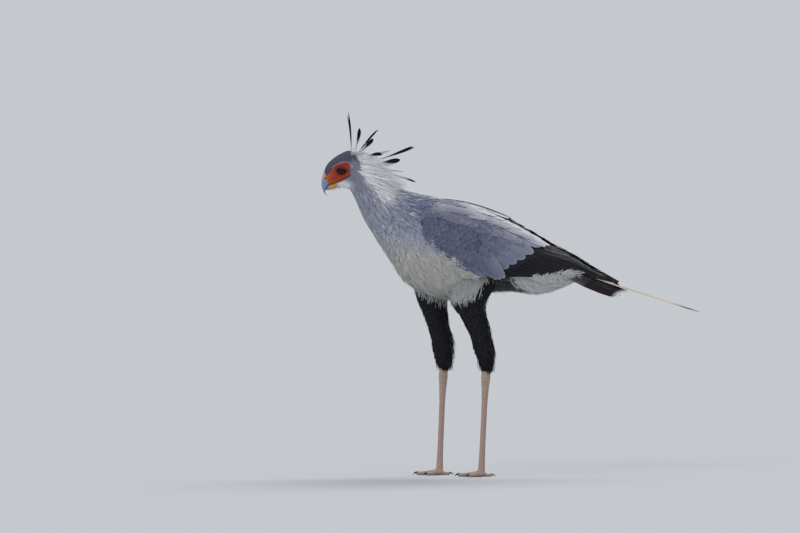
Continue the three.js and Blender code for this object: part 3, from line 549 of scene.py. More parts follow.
def per(values, count):
    """One number, or one for each vane, as a column."""
    return np.broadcast_to(np.asarray(values, float), (count,))[:, None]


def lay(mesh, surface, root, tip, width, outline, colour, chance, section=LEAF, thick=0.3,
        rise=(-2, 1), ease=1.0, tilt=0.0, bow=0.5, hang=None, core=None, large=False, bend=None,
        flat=False):
    """Vanes that follow a surface from roots to tips, both given by the surface's two numbers.

    rise is the height at the root and at the tip, tilt lifts the side that the vane's own left
    edge is on, bow rounds the tip, hang is a pull on it in millimetres, core adds a height that
    changes along the surface, and bend moves the middle of the line, by the surface's numbers.
    A flat vane doesn't wrap round the surface to its sides.
    """
    count = len(root)
    s, share = outline[None, :, 0], outline[None, :, 1]
    way = (tip - root)[:, None, :]
    line = root[:, None, :] + way * s[..., None]
    speed = np.broadcast_to(way, line.shape)
    if bend is not None:
        line = line + bend[:, None, :] * (4 * s * (1 - s))[..., None]
        speed = speed + bend[:, None, :] * (4 - 8 * s)[..., None]
    _, along, across, normal = surface.frame(line[..., 0], line[..., 1])
    forward = unit(along * speed[..., :1] + across * speed[..., 1:])
    sideways = np.cross(normal, forward)
    step = surface.steps(along, across, sideways)
    half = per(width, count) / 2 * share
    height = lerp(per(rise[0], count), per(rise[1], count), s ** ease)
    middle = surface.point(line[..., 0], line[..., 1])
    points = np.empty(half.shape + (len(section), 3))
    for c in np.unique(section[:, 0]):
        if flat:
            bowed = normal * (0.12 * c * c * half)[..., None]
            point = middle + sideways * (c * half)[..., None] - bowed
            place, up = line, normal
        else:
            place = line + step * (c * half)[..., None]
            point, _, _, up = surface.frame(place[..., 0], place[..., 1])
        lift = height + tilt * c * share
        if core is not None:
            lift = lift + core(place[..., 0])
        back = (bow * c * c * half * smooth(s, 0.3, 1))[..., None] * forward
        for k in np.flatnonzero(section[:, 0] == c):
            body_thick = thick * section[k, 1] * lerp(1, 0.5, s)
            points[:, :, k] = point + up * (lift + body_thick)[..., None] - back
    if hang is not None:
        points += (hang[:, None, :] * (s ** 2)[..., None])[:, :, None, :]
    roots = mesh.cells(count) if large else root_map(surface, root)
    fill(mesh, points, roots, outline, section, colour, chance, LARGE_PATCH if large else PATCH)


def plumage(name, finish, slot, *vanes, **how):
    """One piece of vanes over a surface, made and worn."""
    mesh = Mesh()
    lay(mesh, *vanes, **how)
    mesh.wear(name, finish, slot)


def root_map(surface, root):
    """A root's place on the unwrap of its surface."""
    if surface is body:
        return np.stack([root[:, 0] / BODY_END, root[:, 1] / (2 * PI) + 0.5], -1) * 0.98 + 0.01
    if surface in thighs.values():
        return np.stack([root[:, 0] / surface.end, (root[:, 1] / (2 * PI)) % 1], -1) * 0.98 + 0.01
    return np.stack([root[:, 0] / len(WING) * 0.48, root[:, 1] / 3.2], -1) * 0.96 + 0.02


def fill(mesh, points, roots, outline, section, colour, chance, patch):
    """Adds vanes of (count, rings, sides, 3) points with what their material reads."""
    count, rings, sides = points.shape[:3]
    across = np.broadcast_to(section[None, None, :, 0], (count, rings, sides))
    along = np.broadcast_to(outline[None, :, 0, None], (count, rings, sides))
    random = np.broadcast_to(np.asarray(chance)[:, None, None], (count, rings, sides))
    colour = np.asarray(colour)
    if colour.ndim == 2:
        colour = colour[:, None, None, :]
    elif colour.ndim == 3:
        colour = colour[:, :, None, :]
    colours = np.broadcast_to(colour, points.shape)
    maps = roots[:, None, None, :] + patch * np.stack([along - 0.5, across / 2], -1)
    places = np.stack([across, along, random], -1)
    mesh.add(points, ring_quads(rings, sides), places, colours, maps)


def free(mesh, root, control, tip, across, width, outline, colour, chance, section=LEAF, thick=0.4,
         bow=0.0, large=False, taper=0.6, roots=None):
    """Vanes along free bent lines from roots to tips, with the vector that points across them."""
    s = outline[None, :, 0, None]
    line = root[:, None] * (1 - s) ** 2 + control[:, None] * 2 * s * (1 - s) + tip[:, None] * s ** 2
    forward = unit((control - root)[:, None] * (1 - s) + (tip - control)[:, None] * s)
    sideways = across[:, None] - forward * dot(across[:, None], forward)[..., None]
    sideways = unit(sideways)
    normal = np.cross(forward, sideways)
    half = per(width, len(root)) / 2 * outline[None, :, 1]
    points = np.empty(half.shape + (len(section), 3))
    for k, (c, h) in enumerate(section):
        thickness = per(thick, len(root)) * h * lerp(1, taper, s[..., 0])
        back = (bow * c * c * half)[..., None] * forward
        raised = normal * thickness[..., None]
        points[:, :, k] = line + sideways * (c * half)[..., None] + raised - back
    if large:
        roots = mesh.cells(len(root))
    elif roots is None:
        roots = np.stack([(root[:, 0] + 600) / 1200, root[:, 2] / 1200], -1)
    fill(mesh, points, roots, outline, section, colour, chance, LARGE_PATCH if large else PATCH)


def scatter(surface, start, end, gap, rng, turns=(-PI, PI), jitter=0.3):
    """Places over a surface in staggered rows, gap(u) millimetres apart along and across."""
    places = []
    u, row = start, 0
    while u < end:
        along_gap, across_gap = gap(u)
        v = np.linspace(*turns, 181)
        points = surface.point(np.full(v.shape, u), v)
        pace = np.linalg.norm(surface.tangents(np.full(v.shape, u), v)[0], axis=-1)
        arc = np.concatenate([[0], np.cumsum(np.linalg.norm(np.diff(points, axis=0), axis=-1))])
        count = max(2, round(arc[-1] / across_gap))
        shift = np.arange(count) + 0.5 * (row % 2) + rng.uniform(-jitter, jitter, count)
        turn = np.interp((shift % count) / count * arc[-1], arc, v)
        most = pace.max()
        kept = rng.uniform(size=count) < np.interp(turn, v, pace) / most
        step = along_gap / most
        places.append(np.stack([u + step * rng.uniform(-jitter, jitter, count), turn], -1)[kept])
        u += step
        row += 1
    return np.concatenate(places)


def aimed(surface, root, length, pull, follow=1.0):
    """The tips of vanes that run along a surface, turned by a pull towards a direction."""
    _, along, across, normal = surface.frame(root[:, 0], root[:, 1])
    direction = unit(along) * follow + pull
    direction = direction - normal * dot(direction, normal)[:, None]
    way = surface.steps(along, across, unit(direction)) * np.asarray(length)[:, None]
    room = np.clip((surface.end - root[:, 0]) / np.maximum(way[:, 0], 1e-6), 0.05, 1)
    tip = root + way * room[:, None]
    reach = np.linalg.norm(surface.point(*tip.T) - surface.point(*root.T), axis=-1)
    return root + (tip - root) * np.minimum(1, 1.15 * length / np.maximum(reach, 1e-6))[:, None]


def sloping(slope):
    """Directions in the profile, backwards at slopes in radians."""
    return np.stack([np.cos(slope), 0 * slope, np.sin(slope)], -1)


DOWN = np.array([0, 0, -1.0])


# Finishes

class Value:
    """A number in a material, joined to others by Python's operators as Math nodes."""

    def __init__(self, finish, socket):
        self.finish = finish
        self.socket = socket

    def math(self, operation, *others):
        inputs = dict(enumerate([self, *others]))
        node = self.finish.node("ShaderNodeMath", {"operation": operation}, inputs)
        return Value(self.finish, node.outputs[0])

    def __add__(self, other):
        return self.math("ADD", other)

    __radd__ = __add__

    def __sub__(self, other):
        return self.math("SUBTRACT", other)

    def __rsub__(self, other):
        return (self * -1) + other

    def __mul__(self, other):
        return self.math("MULTIPLY", other)

    __rmul__ = __mul__

    def __abs__(self):
        return self.math("ABSOLUTE")

    def most(self, other):
        return self.math("MAXIMUM", other)

    def sine(self):
        return self.math("SINE")

    def between(self, low, high):
        """0 below low and 1 above high, with an even curve between."""
        settings = {"interpolation_type": "SMOOTHSTEP"}
        node = self.finish.node("ShaderNodeMapRange", settings, {0: self, 1: low, 2: high})
        return Value(self.finish, node.outputs[0])


class Finish:
    """A material and the shorthand that fills its nodes."""

    def __init__(self, name):
        self.material = bpy.data.materials.new(name)
        self.material.use_nodes = True
        self.nodes = self.material.node_tree.nodes
        self.links = self.material.node_tree.links
        self.nodes.clear()

    def node(self, kind, settings=None, inputs=None):
        node = self.nodes.new(kind)
        for key, value in (settings or {}).items():
            setattr(node, key, value)
        for key, value in (inputs or {}).items():
            if isinstance(value, Value):
                value = value.socket
            if isinstance(value, bpy.types.NodeSocket):
                self.links.new(value, node.inputs[key])
            else:
                node.inputs[key].default_value = value
        return node

    def attribute(self, name):
        return self.node("ShaderNodeAttribute", {"attribute_name": name})

    def place(self):
        """Across a vane, along it, and the vane's own random number."""
        vector = self.attribute("place").outputs["Vector"]
        parts = self.node("ShaderNodeSeparateXYZ", {}, {0: vector}).outputs
        return [Value(self, part) for part in parts]

    def noise(self, scale, detail=3.0, stretch=(1, 1, 1), roughness=0.55):
        spot = self.node("ShaderNodeTexCoord").outputs["Object"]
        spot = self.node("ShaderNodeMapping", {}, {"Vector": spot, "Scale": stretch}).outputs[0]
        inputs = {"Vector": spot, "Scale": scale, "Detail": detail, "Roughness": roughness}
        return Value(self, self.node("ShaderNodeTexNoise", {}, inputs).outputs[0])

    def mix(self, a, b, factor, blend_type="MIX"):
        colours = [(*c, 1) if isinstance(c, np.ndarray) else c for c in (a, b)]
        settings = {"data_type": "RGBA", "blend_type": blend_type}
        inputs = {0: factor, 6: colours[0], 7: colours[1]}
        return self.node("ShaderNodeMix", settings, inputs).outputs[2]

    def scaled(self, colour, factor):
        inputs = {0: colour, "Scale": factor}
        return self.node("ShaderNodeVectorMath", {"operation": "SCALE"}, inputs).outputs[0]

    def bump(self, height, distance, strength=1.0):
        inputs = {"Height": height, "Distance": distance, "Strength": strength}
        return self.node("ShaderNodeBump", {}, inputs).outputs[0]

    def done(self, colour, roughness, normal=None, **constants):
        inputs = {"Base Color": colour, "Roughness": roughness}
        if normal is not None:
            inputs["Normal"] = normal
        inputs.update({key.replace("_", " "): value for key, value in constants.items()})
        shader = self.node("ShaderNodeBsdfPrincipled", {}, inputs).outputs[0]
        self.node("ShaderNodeOutputMaterial", {}, {0: shader})
        return self.material


def feather_finish(name, barbs=26, edge=0.35, edge_colour=None, edge_from=0.7, tip_from=0.86,
                   shaft=0.4, shaft_colour=NIGHT, streak=0.12, vary=0.22, rough=0.75, sheen=0.1,
                   shine=0.25, relief=0.00012):
    """A feather: barbs that slant off a shaft, a paler rim and tip, and a brightness of its own."""
    f = Finish(name)
    across, along, chance = f.place()
    side = abs(across)
    marking = f.attribute("marking").outputs["Color"]
    barb = ((along * barbs - side * (barbs * 0.22) + chance * 9) * (2 * PI)).sine()
    split = f.noise(260, 2.0)
    value = 1 - streak + (barb * 0.5 + 0.5) * streak + (chance - 0.5) * vary + (split - 0.5) * 0.3
    colour = f.scaled(marking, value)
    rim = side.between(edge_from, 1).most(along.between(tip_from, 1)) * edge
    paler = f.mix(marking, WHITE, 0.55) if edge_colour is None else edge_colour
    colour = f.mix(colour, paler, rim)
    spine = (1 - side.between(0.02, 0.1)) * (1 - along.between(0.7, 1)) * shaft
    colour = f.mix(colour, shaft_colour, spine)
    height = barb * 0.5 + split
    return f.done(colour, rough + (split - 0.5) * 0.2, f.bump(height, relief),
                  Sheen_Weight=sheen, Sheen_Roughness=0.5, Specular_IOR_Level=shine)


def skin_finish():
    """Skin under the coat in the coat's own markings, and the bare face with its fine folds."""
    f = Finish("skin")
    marking = f.attribute("marking").outputs["Color"]
    fold = f.noise(800, 4.0, (1, 1, 1.8))
    mottle = f.noise(150, 3.0)
    colour = f.scaled(marking, 0.62 + mottle * 0.6 + (fold - 0.5) * 0.5)
    height = fold + mottle * 0.8
    return f.done(colour, 0.5 + (mottle - 0.5) * 0.3, f.bump(height, 0.0016),
                  Subsurface_Weight=0.08, Subsurface_Radius=(0.004, 0.0015, 0.001),
                  Subsurface_Scale=0.5, Specular_IOR_Level=0.4)


def bill_finish():
    """Smooth horn with faint growth lines."""
    f = Finish("bill_horn")
    marking = f.attribute("marking").outputs["Color"]
    growth = f.noise(420, 4.0, (1, 1, 3))
    cloud = f.noise(120, 3.0)
    colour = f.scaled(marking, 0.8 + cloud * 0.3 + (growth - 0.5) * 0.25)
    return f.done(colour, 0.3 + growth * 0.22, f.bump(growth, 0.0003), Specular_IOR_Level=0.5,
                  Coat_Weight=0.15, Coat_Roughness=0.3)


def scale_finish():
    """Dull, dusty scales."""
    f = Finish("leg_scales")
    marking = f.attribute("marking").outputs["Color"]
    dust = f.noise(90, 4.0)
    grain = f.noise(700, 3.0)
    colour = f.scaled(marking, 0.72 + dust * 0.42 + (grain - 0.5) * 0.25)
    return f.done(colour, 0.5 + (dust - 0.5) * 0.3, f.bump(grain, 0.0004), Specular_IOR_Level=0.4)


def claw_finish():
    """Black horn, worn paler along its grain."""
    f = Finish("claw_horn")
    grain = f.noise(500, 3.0, (1, 1, 4))
    colour = f.mix(tone(24, 21, 20), tone(74, 64, 58), grain.between(0.45, 0.8))
    return f.done(colour, 0.3 + grain * 0.25, f.bump(grain, 0.0002), Specular_IOR_Level=0.5)


def eye_finish():
    """A wet eye: a black pupil, a brown iris with fine rays, and a dark rim."""
    f = Finish("eye_wet")
    ring, _, _ = f.place()
    rays = f.noise(1400, 3.0)
    brown = f.mix(tone(66, 42, 24), tone(112, 74, 40), rays.between(0.35, 0.7))
    colour = f.mix(tone(5, 4, 4), brown, ring.between(0.42, 0.47))
    colour = f.mix(colour, tone(12, 9, 8), ring.between(0.74, 0.86))
    return f.done(colour, 0.04, None, Specular_IOR_Level=0.2)


def bristle_finish():
    """Stiff black hair, a little paler at its tip."""
    f = Finish("bristle")
    _, along, _ = f.place()
    colour = f.mix(LASH, tone(44, 38, 40), along.between(0.3, 1))
    return f.done(colour, 0.4, None, Specular_IOR_Level=0.5)


FINISHES = {
    "skin": skin_finish(),
    "bill": bill_finish(),
    "scales": scale_finish(),
    "claw": claw_finish(),
    "eye": eye_finish(),
    "bristle": bristle_finish(),
    "small": feather_finish("head_feathers", barbs=5, edge=0.16, shaft=0.1, streak=0.1),
    "hackle": feather_finish("neck_hackles", barbs=9, edge=0.35, edge_from=0.4, shaft=0.35,
                             shaft_colour=tone(74, 76, 100), streak=0.14),
    "body": feather_finish("body_feathers", barbs=16, edge=0.2, shaft=0.15,
                           shaft_colour=tone(90, 90, 110)),
    "down": feather_finish("soft_down", barbs=12, edge=0.25, shaft=0.0, streak=0.12, rough=0.9,
                           sheen=0.25),
    "white": feather_finish("white_locks", barbs=12, edge=0.25, shaft=0.0, streak=0.04, vary=0.1,
                            rough=0.9, sheen=0.6),
    "covert": feather_finish("wing_coverts", barbs=34, edge=0.2, edge_from=0.78, tip_from=0.9,
                             shaft=0.35, shaft_colour=tone(58, 58, 76), vary=0.12),
    # The flight feathers' brown-grey edges are painted sheen.
    "flight": feather_finish("flight_feathers", barbs=90, edge=0.45, edge_colour=PAINTED_SHEEN,
                             edge_from=0.88, tip_from=0.985, shaft=0.5,
                             shaft_colour=tone(46, 40, 40), streak=0.25, rough=0.5, sheen=0.0,
                             shine=0.2),
    "tail": feather_finish("tail_feathers", barbs=80, edge=0.4, edge_colour=STREAM_EDGE,
                           edge_from=0.85, tip_from=0.985, shaft=0.5,
                           shaft_colour=tone(110, 92, 84), streak=0.25, rough=0.55, sheen=0.0,
                           shine=0.2),
    "crest": feather_finish("crest_plumes", barbs=40, edge=0.04, edge_from=0.8, tip_from=0.95,
                            shaft=0.3, streak=0.2, rough=0.6, sheen=0.0, shine=0.15),
    "thigh": feather_finish("thigh_feathers", barbs=14, edge=0.05, shaft=0.1, streak=0.25,
                            rough=0.75, sheen=0.0, shine=0.15),
}


# Skin

COAT_DEPTH = [(1, 1.2), (4, 1.6), (6, 3), (8, 4.5), (10, 6.5), (12, 8), (17, 8), (20, 4)]


def coat_depth(at):
    """How deep the skin lies under the feathers' surface."""
    return np.interp(at, *zip(*COAT_DEPTH))


def face_relief(x, y, z):
    """How far the head's skin rises at the brow, the eye's socket, the gape and the folds."""
    tilt = EYE["tilt"]
    dx, dz = x - EYE["x"], z - EYE["z"]
    ex = dx * math.cos(tilt) - dz * math.sin(tilt)
    ez = dx * math.sin(tilt) + dz * math.cos(tilt)
    away = np.hypot(ex / 14.5, ez / 9.5)
    lift = -3.6 * np.exp(-(away ** 4))
    lift += 0.35 * np.sin(away * 15) * np.exp(-((away - 1.55) * 2.2) ** 2)
    brow = to_segment(x, z, (-538, 926), (-497, 938))
    lift += 2.6 * np.exp(-((brow / 5) ** 2))
    ripple = np.sin(away * 21 + 1.4 * np.sin(x * 0.31))
    ripple = ripple + 0.6 * np.sin((x + z) * 0.9 + 2 * np.sin(z * 0.4))
    lift += 0.16 * ripple * smooth(away, 1.2, 1.6)
    gape = to_segment(x, z, *GAPE_LINE)
    lift += -1.5 * np.exp(-((gape / 1.8) ** 2)) + 0.7 * np.exp(-(((gape - 4.8) / 2.4) ** 2))
    return lift * smooth(np.abs(y), 9, 15)


def skin_rings(rows, around, surface, lift_of):
    """Rows and angles over a surface, and the points there, raised by lift_of."""
    u, v = np.meshgrid(rows, np.linspace(-PI, PI, around, endpoint=False), indexing="ij")
    return u, v, surface.place(u, v, lift_of(u, v))


def body_skin():
    """The rings of head, neck and torso, closest on the face, and their markings."""
    rows = np.concatenate([np.linspace(1, 6.4, 210), np.linspace(6.44, BODY_END, 84)])

    def lift(at, angle):
        x, y, z = np.moveaxis(body_point(at, angle), -1, 0)
        naked = bare(x, z, y)
        return -coat_depth(at) * (1 - naked) + face_relief(x, y, z) * (1 - smooth(at, 6, 6.4))

    at, angle, rings = skin_rings(rows, 240, body, lift)
    x, y, z = np.moveaxis(body_point(at, angle), -1, 0)
    naked = bare(x, z, y)
    colour = blend(body_colour(at, angle), face_colour(x, z), naked)
    gape = np.exp(-((to_segment(x, z, *GAPE_LINE) / 1.6) ** 2)) * smooth(np.abs(y), 6, 9)
    colour = blend(colour, GAPE, gape * naked)
    rim = np.hypot((x - EYE["x"]) / 16, (z - EYE["z"] - (x - EYE["x"]) * EYE["tilt"]) / 9)
    return rings, blend(colour, GAPE, (1 - smooth(rim, 0.78, 1.12)) * naked * 0.9)


def thigh_skin(side):
    """The rings of one thigh and their colours."""
    surface = thighs[side]
    rows = np.linspace(0, surface.end, 60)
    _, _, rings = skin_rings(rows, 48, surface, lambda u, v: -5 + 0 * u)
    x, _, z = np.moveaxis(rings, -1, 0)
    return rings, thigh_colour(x, z)


def wing_bed(side):
    """The folded wing's own body under its feathers, closed by an inner face near the torso."""
    surface = wings[side]
    along = np.linspace(1.1, 9.7, 62)
    turns = np.linspace(0.18, 2.15, 24)
    u, v = np.meshgrid(along, turns, indexing="ij")
    thin = smooth(u, 6, 9.6)
    outer = surface.place(u, v, wing_core(u) - lerp(2.5, 0.6, thin))
    inner = surface.place(u, v, wing_core(u) - lerp(13, 2.0, thin))
    rings = np.concatenate([outer, inner[:, ::-1]], axis=1)
    rear = np.broadcast_to(smooth(along, 4.6, 5.6)[:, None], rings.shape[:2])
    return rings, blend(np.broadcast_to(MANTLE, rings.shape), NIGHT, rear)


def skin():
    """One closed mesh of body, thighs and both folded wings' flesh."""
    tubes = [body_skin()] + [shape(side) for shape in (thigh_skin, wing_bed) for side in SIDES]
    parts = []
    for rings, colour in tubes:
        mesh = Mesh()
        mesh.tube(rings, colour)
        parts.append(mesh.build(f"skin_part_{len(parts)}", FINISHES["skin"], coat=False))
    flesh = ["head", "neck", "torso", "thigh_left", "thigh_right"]
    dress(united(parts, "skin"), flesh)


# Body feathers

# Sizes by place along the body: gap along, gap across, length, width, and the root's depth.
BODY_COAT = [
    (1, 2.2, 1.5, 7, 2.3, 0.9),
    (4, 2.6, 1.7, 10, 2.6, 1.3),
    (6, 3.6, 2.2, 17, 3.2, 2.2),
    (8, 5.6, 3.3, 27, 4.8, 3.6),
    (10, 7.6, 4.8, 36, 8, 5.4),
    (12, 10, 7.0, 46, 13, 7.0),
    (17, 11, 7.8, 50, 14, 7.0),
    (20, 9, 7.0, 44, 12, 4.0),
]


def coat_size(at):
    """The sizes of BODY_COAT at places along the body."""
    stops, *columns = zip(*BODY_COAT)
    return [np.interp(at, stops, column) for column in columns]


def under_wing(points):
    """Whether points of the body are hidden by the folded wing."""
    along, _, down = wing_place(points[:, 0], points[:, 2])
    return (along > 1.3) & (along < 10.5) & (down > 0.1) & (down < 0.74)


def wing_fill(points):
    """How far feathers stand off the body to close the gap inside the wing's lower edge."""
    along, _, down = wing_place(points[:, 0], points[:, 2])
    near_edge = np.exp(-(((down - 0.88) / 0.13) ** 2))
    return 9 * near_edge * smooth(along, 1.4, 2.6) * (1 - smooth(along, 6, 8))


def body_pull(at, turn):
    """How much a body feather turns from the body's line towards the ground."""
    return 0.25 * smooth(turn, 50, 110) * smooth(at, 7, 10) + 0.45 * smooth(turn, 80, 130) * smooth(
        at, 11, 13) * (1 - smooth(at, 15, 17))


def body_feathers():
    """The short feathers of head, neck and body, in three pieces."""
    rng = np.random.default_rng(11)
    root = scatter(body, 1.02, BODY_END - 0.1, lambda at: coat_size(at)[:2], rng)
    point = body_point(root[:, 0], root[:, 1])
    naked = bare(point[:, 0], point[:, 2], point[:, 1])
    keep = (naked < 0.3) & ~under_wing(point)
    root, point = root[keep], point[keep]
    at, turn = root[:, 0], np.degrees(np.abs(root[:, 1]))
    _, _, length, width, depth = coat_size(at)
    chance = rng.uniform(size=len(root))
    length = length * (0.85 + 0.3 * chance)
    sway = rng.normal(0, 0.1, (len(root), 3))
    pull = DOWN * body_pull(at, turn)[:, None] + sway
    near_face = inside(point[:, 0], point[:, 2], FACE) > -9
    length = np.where(near_face & (at < 6), length * 0.7, length)
    width = np.where(near_face & (at < 6), width * 0.7, width)
    tip = aimed(body, root, length, pull)
    uneven = rng.uniform(-0.3, 0.9, len(root)) * np.interp(at, [1, 6, 12], [0.3, 0.8, 1.4])
    lift = np.where(at < 6, 0.2, 0.8) + uneven + wing_fill(point)
    colour = body_colour(at + 0.02 * length / np.interp(at, [1, 20], [8, 40]), root[:, 1])
    groups = {
        "head_feathers": (at < 6.2, FINE, "small", "head_plumage", 0.18),
        "neck_hackles": ((at >= 6.2) & (at < 10.6), LANCE, "hackle", "neck_plumage", 0.25),
        "body_feathers": (at >= 10.6, OVATE, "body", "body_plumage", 0.4),
    }
    for name, (chosen, outline, finish, slot, thick) in groups.items():
        plumage(name, finish, slot, body, root[chosen], tip[chosen], width[chosen], outline,
                colour[chosen], chance[chosen], thick=thick, rise=(-depth[chosen], lift[chosen]),
                ease=0.85, bow=0.6, section=ARCHED if name == "body_feathers" else LEAF)


def hackle_streaks():
    """Narrow grey and white feathers that lie loose over the neck."""
    rng = np.random.default_rng(12)
    root = scatter(body, 6.3, 11.6, lambda at: (8, 4.2), rng, jitter=0.45)
    at, turn = root[:, 0], np.degrees(np.abs(root[:, 1]))
    chance = rng.uniform(size=len(root))
    length = np.interp(at, [6, 8, 11], [20, 32, 40]) * (0.8 + 0.5 * chance)
    pull = DOWN * body_pull(at, turn)[:, None] + rng.normal(0, 0.16, (len(root), 3))
    tip = aimed(body, root, length, pull)
    colour = body_colour(at, root[:, 1])
    dark = smooth(rng.uniform(size=len(root)), 0.25, 0.6) * smooth(turn, 58, 80)
    dark = dark * (1 - smooth(turn, 135, 160))
    pale = smooth(rng.uniform(size=len(root)), 0.6, 0.8)
    colour = blend(blend(colour, WHITE, pale * 0.6), tone(92, 94, 120), dark * 0.8)
    lift = 1.2 + 1.8 * rng.uniform(size=len(root)) ** 2
    plumage("neck_streaks", "hackle", "neck_plumage", body, root, tip, 2.2 + 1.6 * chance, LOCK,
            colour, chance, thick=0.3, rise=(-3.5, lift), ease=0.9)


def belly_down():
    """Loose, long down on breast, belly and flanks and under the tail."""
    rng = np.random.default_rng(13)
    root = scatter(body, 10.5, BODY_END - 0.2, lambda at: (7.5, 4.6), rng, jitter=0.5)
    turn = np.degrees(np.abs(root[:, 1]))
    point = body_point(root[:, 0], root[:, 1])
    low = turn + 10 * (root[:, 0] - 11) > 100
    keep = low & ~under_wing(point)
    root, turn, point = root[keep], turn[keep], point[keep]
    at = root[:, 0]
    chance = rng.uniform(size=len(root))
    rear = smooth(at, 15.5, 17.5)
    length = lerp(44, 50, rear) * (0.7 + 0.5 * chance)
    length = length * np.interp(at, [10.5, 12.5, 18.5, 20], [0.7, 1, 1, 0.6])
    pull = DOWN * (body_pull(at, turn) + 0.12)[:, None] + rng.normal(0, 0.22, (len(root), 3))
    tip = aimed(body, root, length, pull)
    lift = 1.5 + 4.5 * rng.uniform(size=len(root)) ** 2 + wing_fill(point)
    hang = DOWN * (2 + 5 * rng.uniform(size=len(root)) ** 2 * (1 - rear))[:, None]
    colour = body_colour(at, root[:, 1])
    dark = colour.mean(-1) < 0.12
    colour = blend(colour, WHITE, np.where(dark, 0, 0.35) * rng.uniform(size=len(root)))
    plumage("belly_down", "down", "body_plumage", body, root, tip, 2.8 + 2.4 * chance, LOCK,
            colour, chance, thick=0.35, rise=(-6, lift), hang=hang)


def belly_fringe():
    """The ragged hem of the belly, where its feathers hang over the thighs."""
    rng = np.random.default_rng(14)
    count = BELLY_LOCKS
    at = rng.uniform(12.2, 15.4, count)
    root = np.stack([at, rng.choice([-1, 1], count) * np.radians(rng.uniform(118, 178, count))], -1)
    chance = rng.uniform(size=count)
    length = 34 + 20 * chance
    pull = DOWN * 0.5 + rng.normal(0, 0.2, (count, 3))
    tip = aimed(body, root, length, pull)
    hang = DOWN * (4 + 8 * chance[:, None]) + np.array([3.0, 0, 0])
    colour = blend(body_colour(at, root[:, 1]), WHITE, 0.4 * rng.uniform(size=count))
    plumage("belly_fringe", "down", "body_plumage", body, root, tip, 3 + 2.5 * chance, LOCK,
            colour, chance, thick=0.35, rise=(-5, 1.5), hang=hang)


# Thighs

def thigh_fringe(mesh, side, rng):
    """Loose hair-like feathers behind the thigh and round its hem, some of them pale at the rear as
    a painted highlight.
    """
    surface = thighs[side]
    count = THIGH_HAIRS
    for low, high, spread in ((2.6, 8.6, 0.75), (7.6, 8.95, 4.0)):
        at = rng.uniform(low, high, count)
        turn = rng.normal(0, spread, count)
        root, along, _, normal = surface.frame(at, turn)
        chance = rng.uniform(size=count)
        aim = unit(unit(along) * 1.0 + normal * (0.05 + 0.2 * chance[:, None] ** 2)
                   + rng.normal(0, 0.07, (count, 3)))
        length = np.where(at > 8, 15 + 12 * chance, 22 + 16 * chance)[:, None]
        start = root - normal * 1.5
        tip = start + aim * length
        control = start + (aim * 0.5 + normal * 0.06) * length
        # Painted highlight: pale hairs are strewn only along the thigh's rear edge, where the light
        # from behind catches it.
        pale = smooth(rng.uniform(size=count), 0.6, 0.95) * np.exp(-(turn ** 2) / 0.4)
        colour = blend(np.tile(SOOT, (count, 1)), tone(170, 160, 152), pale * 0.75)
        free(mesh, start, control, tip, unit(np.cross(aim, normal)), 1.8 + 1.6 * chance, LOCK,
             colour, chance, thick=0.35, roots=root_map(surface, np.stack([at, turn], -1)))


def thigh_feathers(side):
    """The thigh's short black feathers."""
    rng = np.random.default_rng(21 + side)
    surface = thighs[side]
    root = scatter(surface, 0.3, surface.end - 0.15, lambda at: (7, 4.6), rng, jitter=0.4)
    chance = rng.uniform(size=len(root))
    point = surface.point(root[:, 0], root[:, 1])
    fluff = smooth(inside(point[:, 0], point[:, 2], FLANK_AREA), -4, 12)
    length = lerp(26, 40, fluff) * (0.75 + 0.5 * chance)
    length = length * np.interp(root[:, 0], [0, 7, 9], [1.1, 1, 0.7])
    tip = aimed(surface, root, length, rng.normal(0, 0.14, (len(root), 3)))
    ragged = rng.normal(0, 5, len(root))
    colour = thigh_colour(point[:, 0] + ragged, point[:, 2] + ragged)
    lift = 0.5 + 3.0 * rng.uniform(size=len(root)) ** 2
    mesh = Mesh()
    dark = fluff < 0.85
    lay(mesh, surface, root[dark], tip[dark], 6.5 * (0.8 + 0.4 * chance[dark]), OVATE, colour[dark],
        chance[dark], thick=0.35, rise=(-3.5, lift[dark]), ease=0.9)
    thigh_fringe(mesh, side, rng)
    mesh.wear(f"thigh_feathers_{SIDES[side]}", "thigh", "thigh_plumage")
    thigh_down(side, rng)


def thigh_down(side, rng):
    """The flank's long pale down, which hangs ragged over the thigh's black."""
    surface = thighs[side]
    root = scatter(surface, 0.3, 5.2, lambda at: (4.6, 3.4), rng, jitter=0.5)
    point = surface.point(root[:, 0], root[:, 1])
    depth = inside(point[:, 0], point[:, 2], FLANK_AREA)
    keep = depth > rng.normal(2, 3, len(root))
    root = root[keep]
    chance = rng.uniform(size=len(root))
    length = 30 + 22 * chance
    tip = aimed(surface, root, length, rng.normal(0, 0.2, (len(root), 3)))
    lift = 1.5 + 4 * rng.uniform(size=len(root)) ** 2
    colour = blend(np.tile(CREAM, (len(root), 1)), BREAST, 0.6 * rng.uniform(size=len(root)))
    plumage(f"thigh_down_{SIDES[side]}", "down", "thigh_plumage", surface, root, tip,
            2.4 + 2.2 * chance, LOCK, colour, chance, thick=0.35, rise=(-4, lift),
            hang=DOWN * (3 + 4 * chance[:, None]))


# Wings

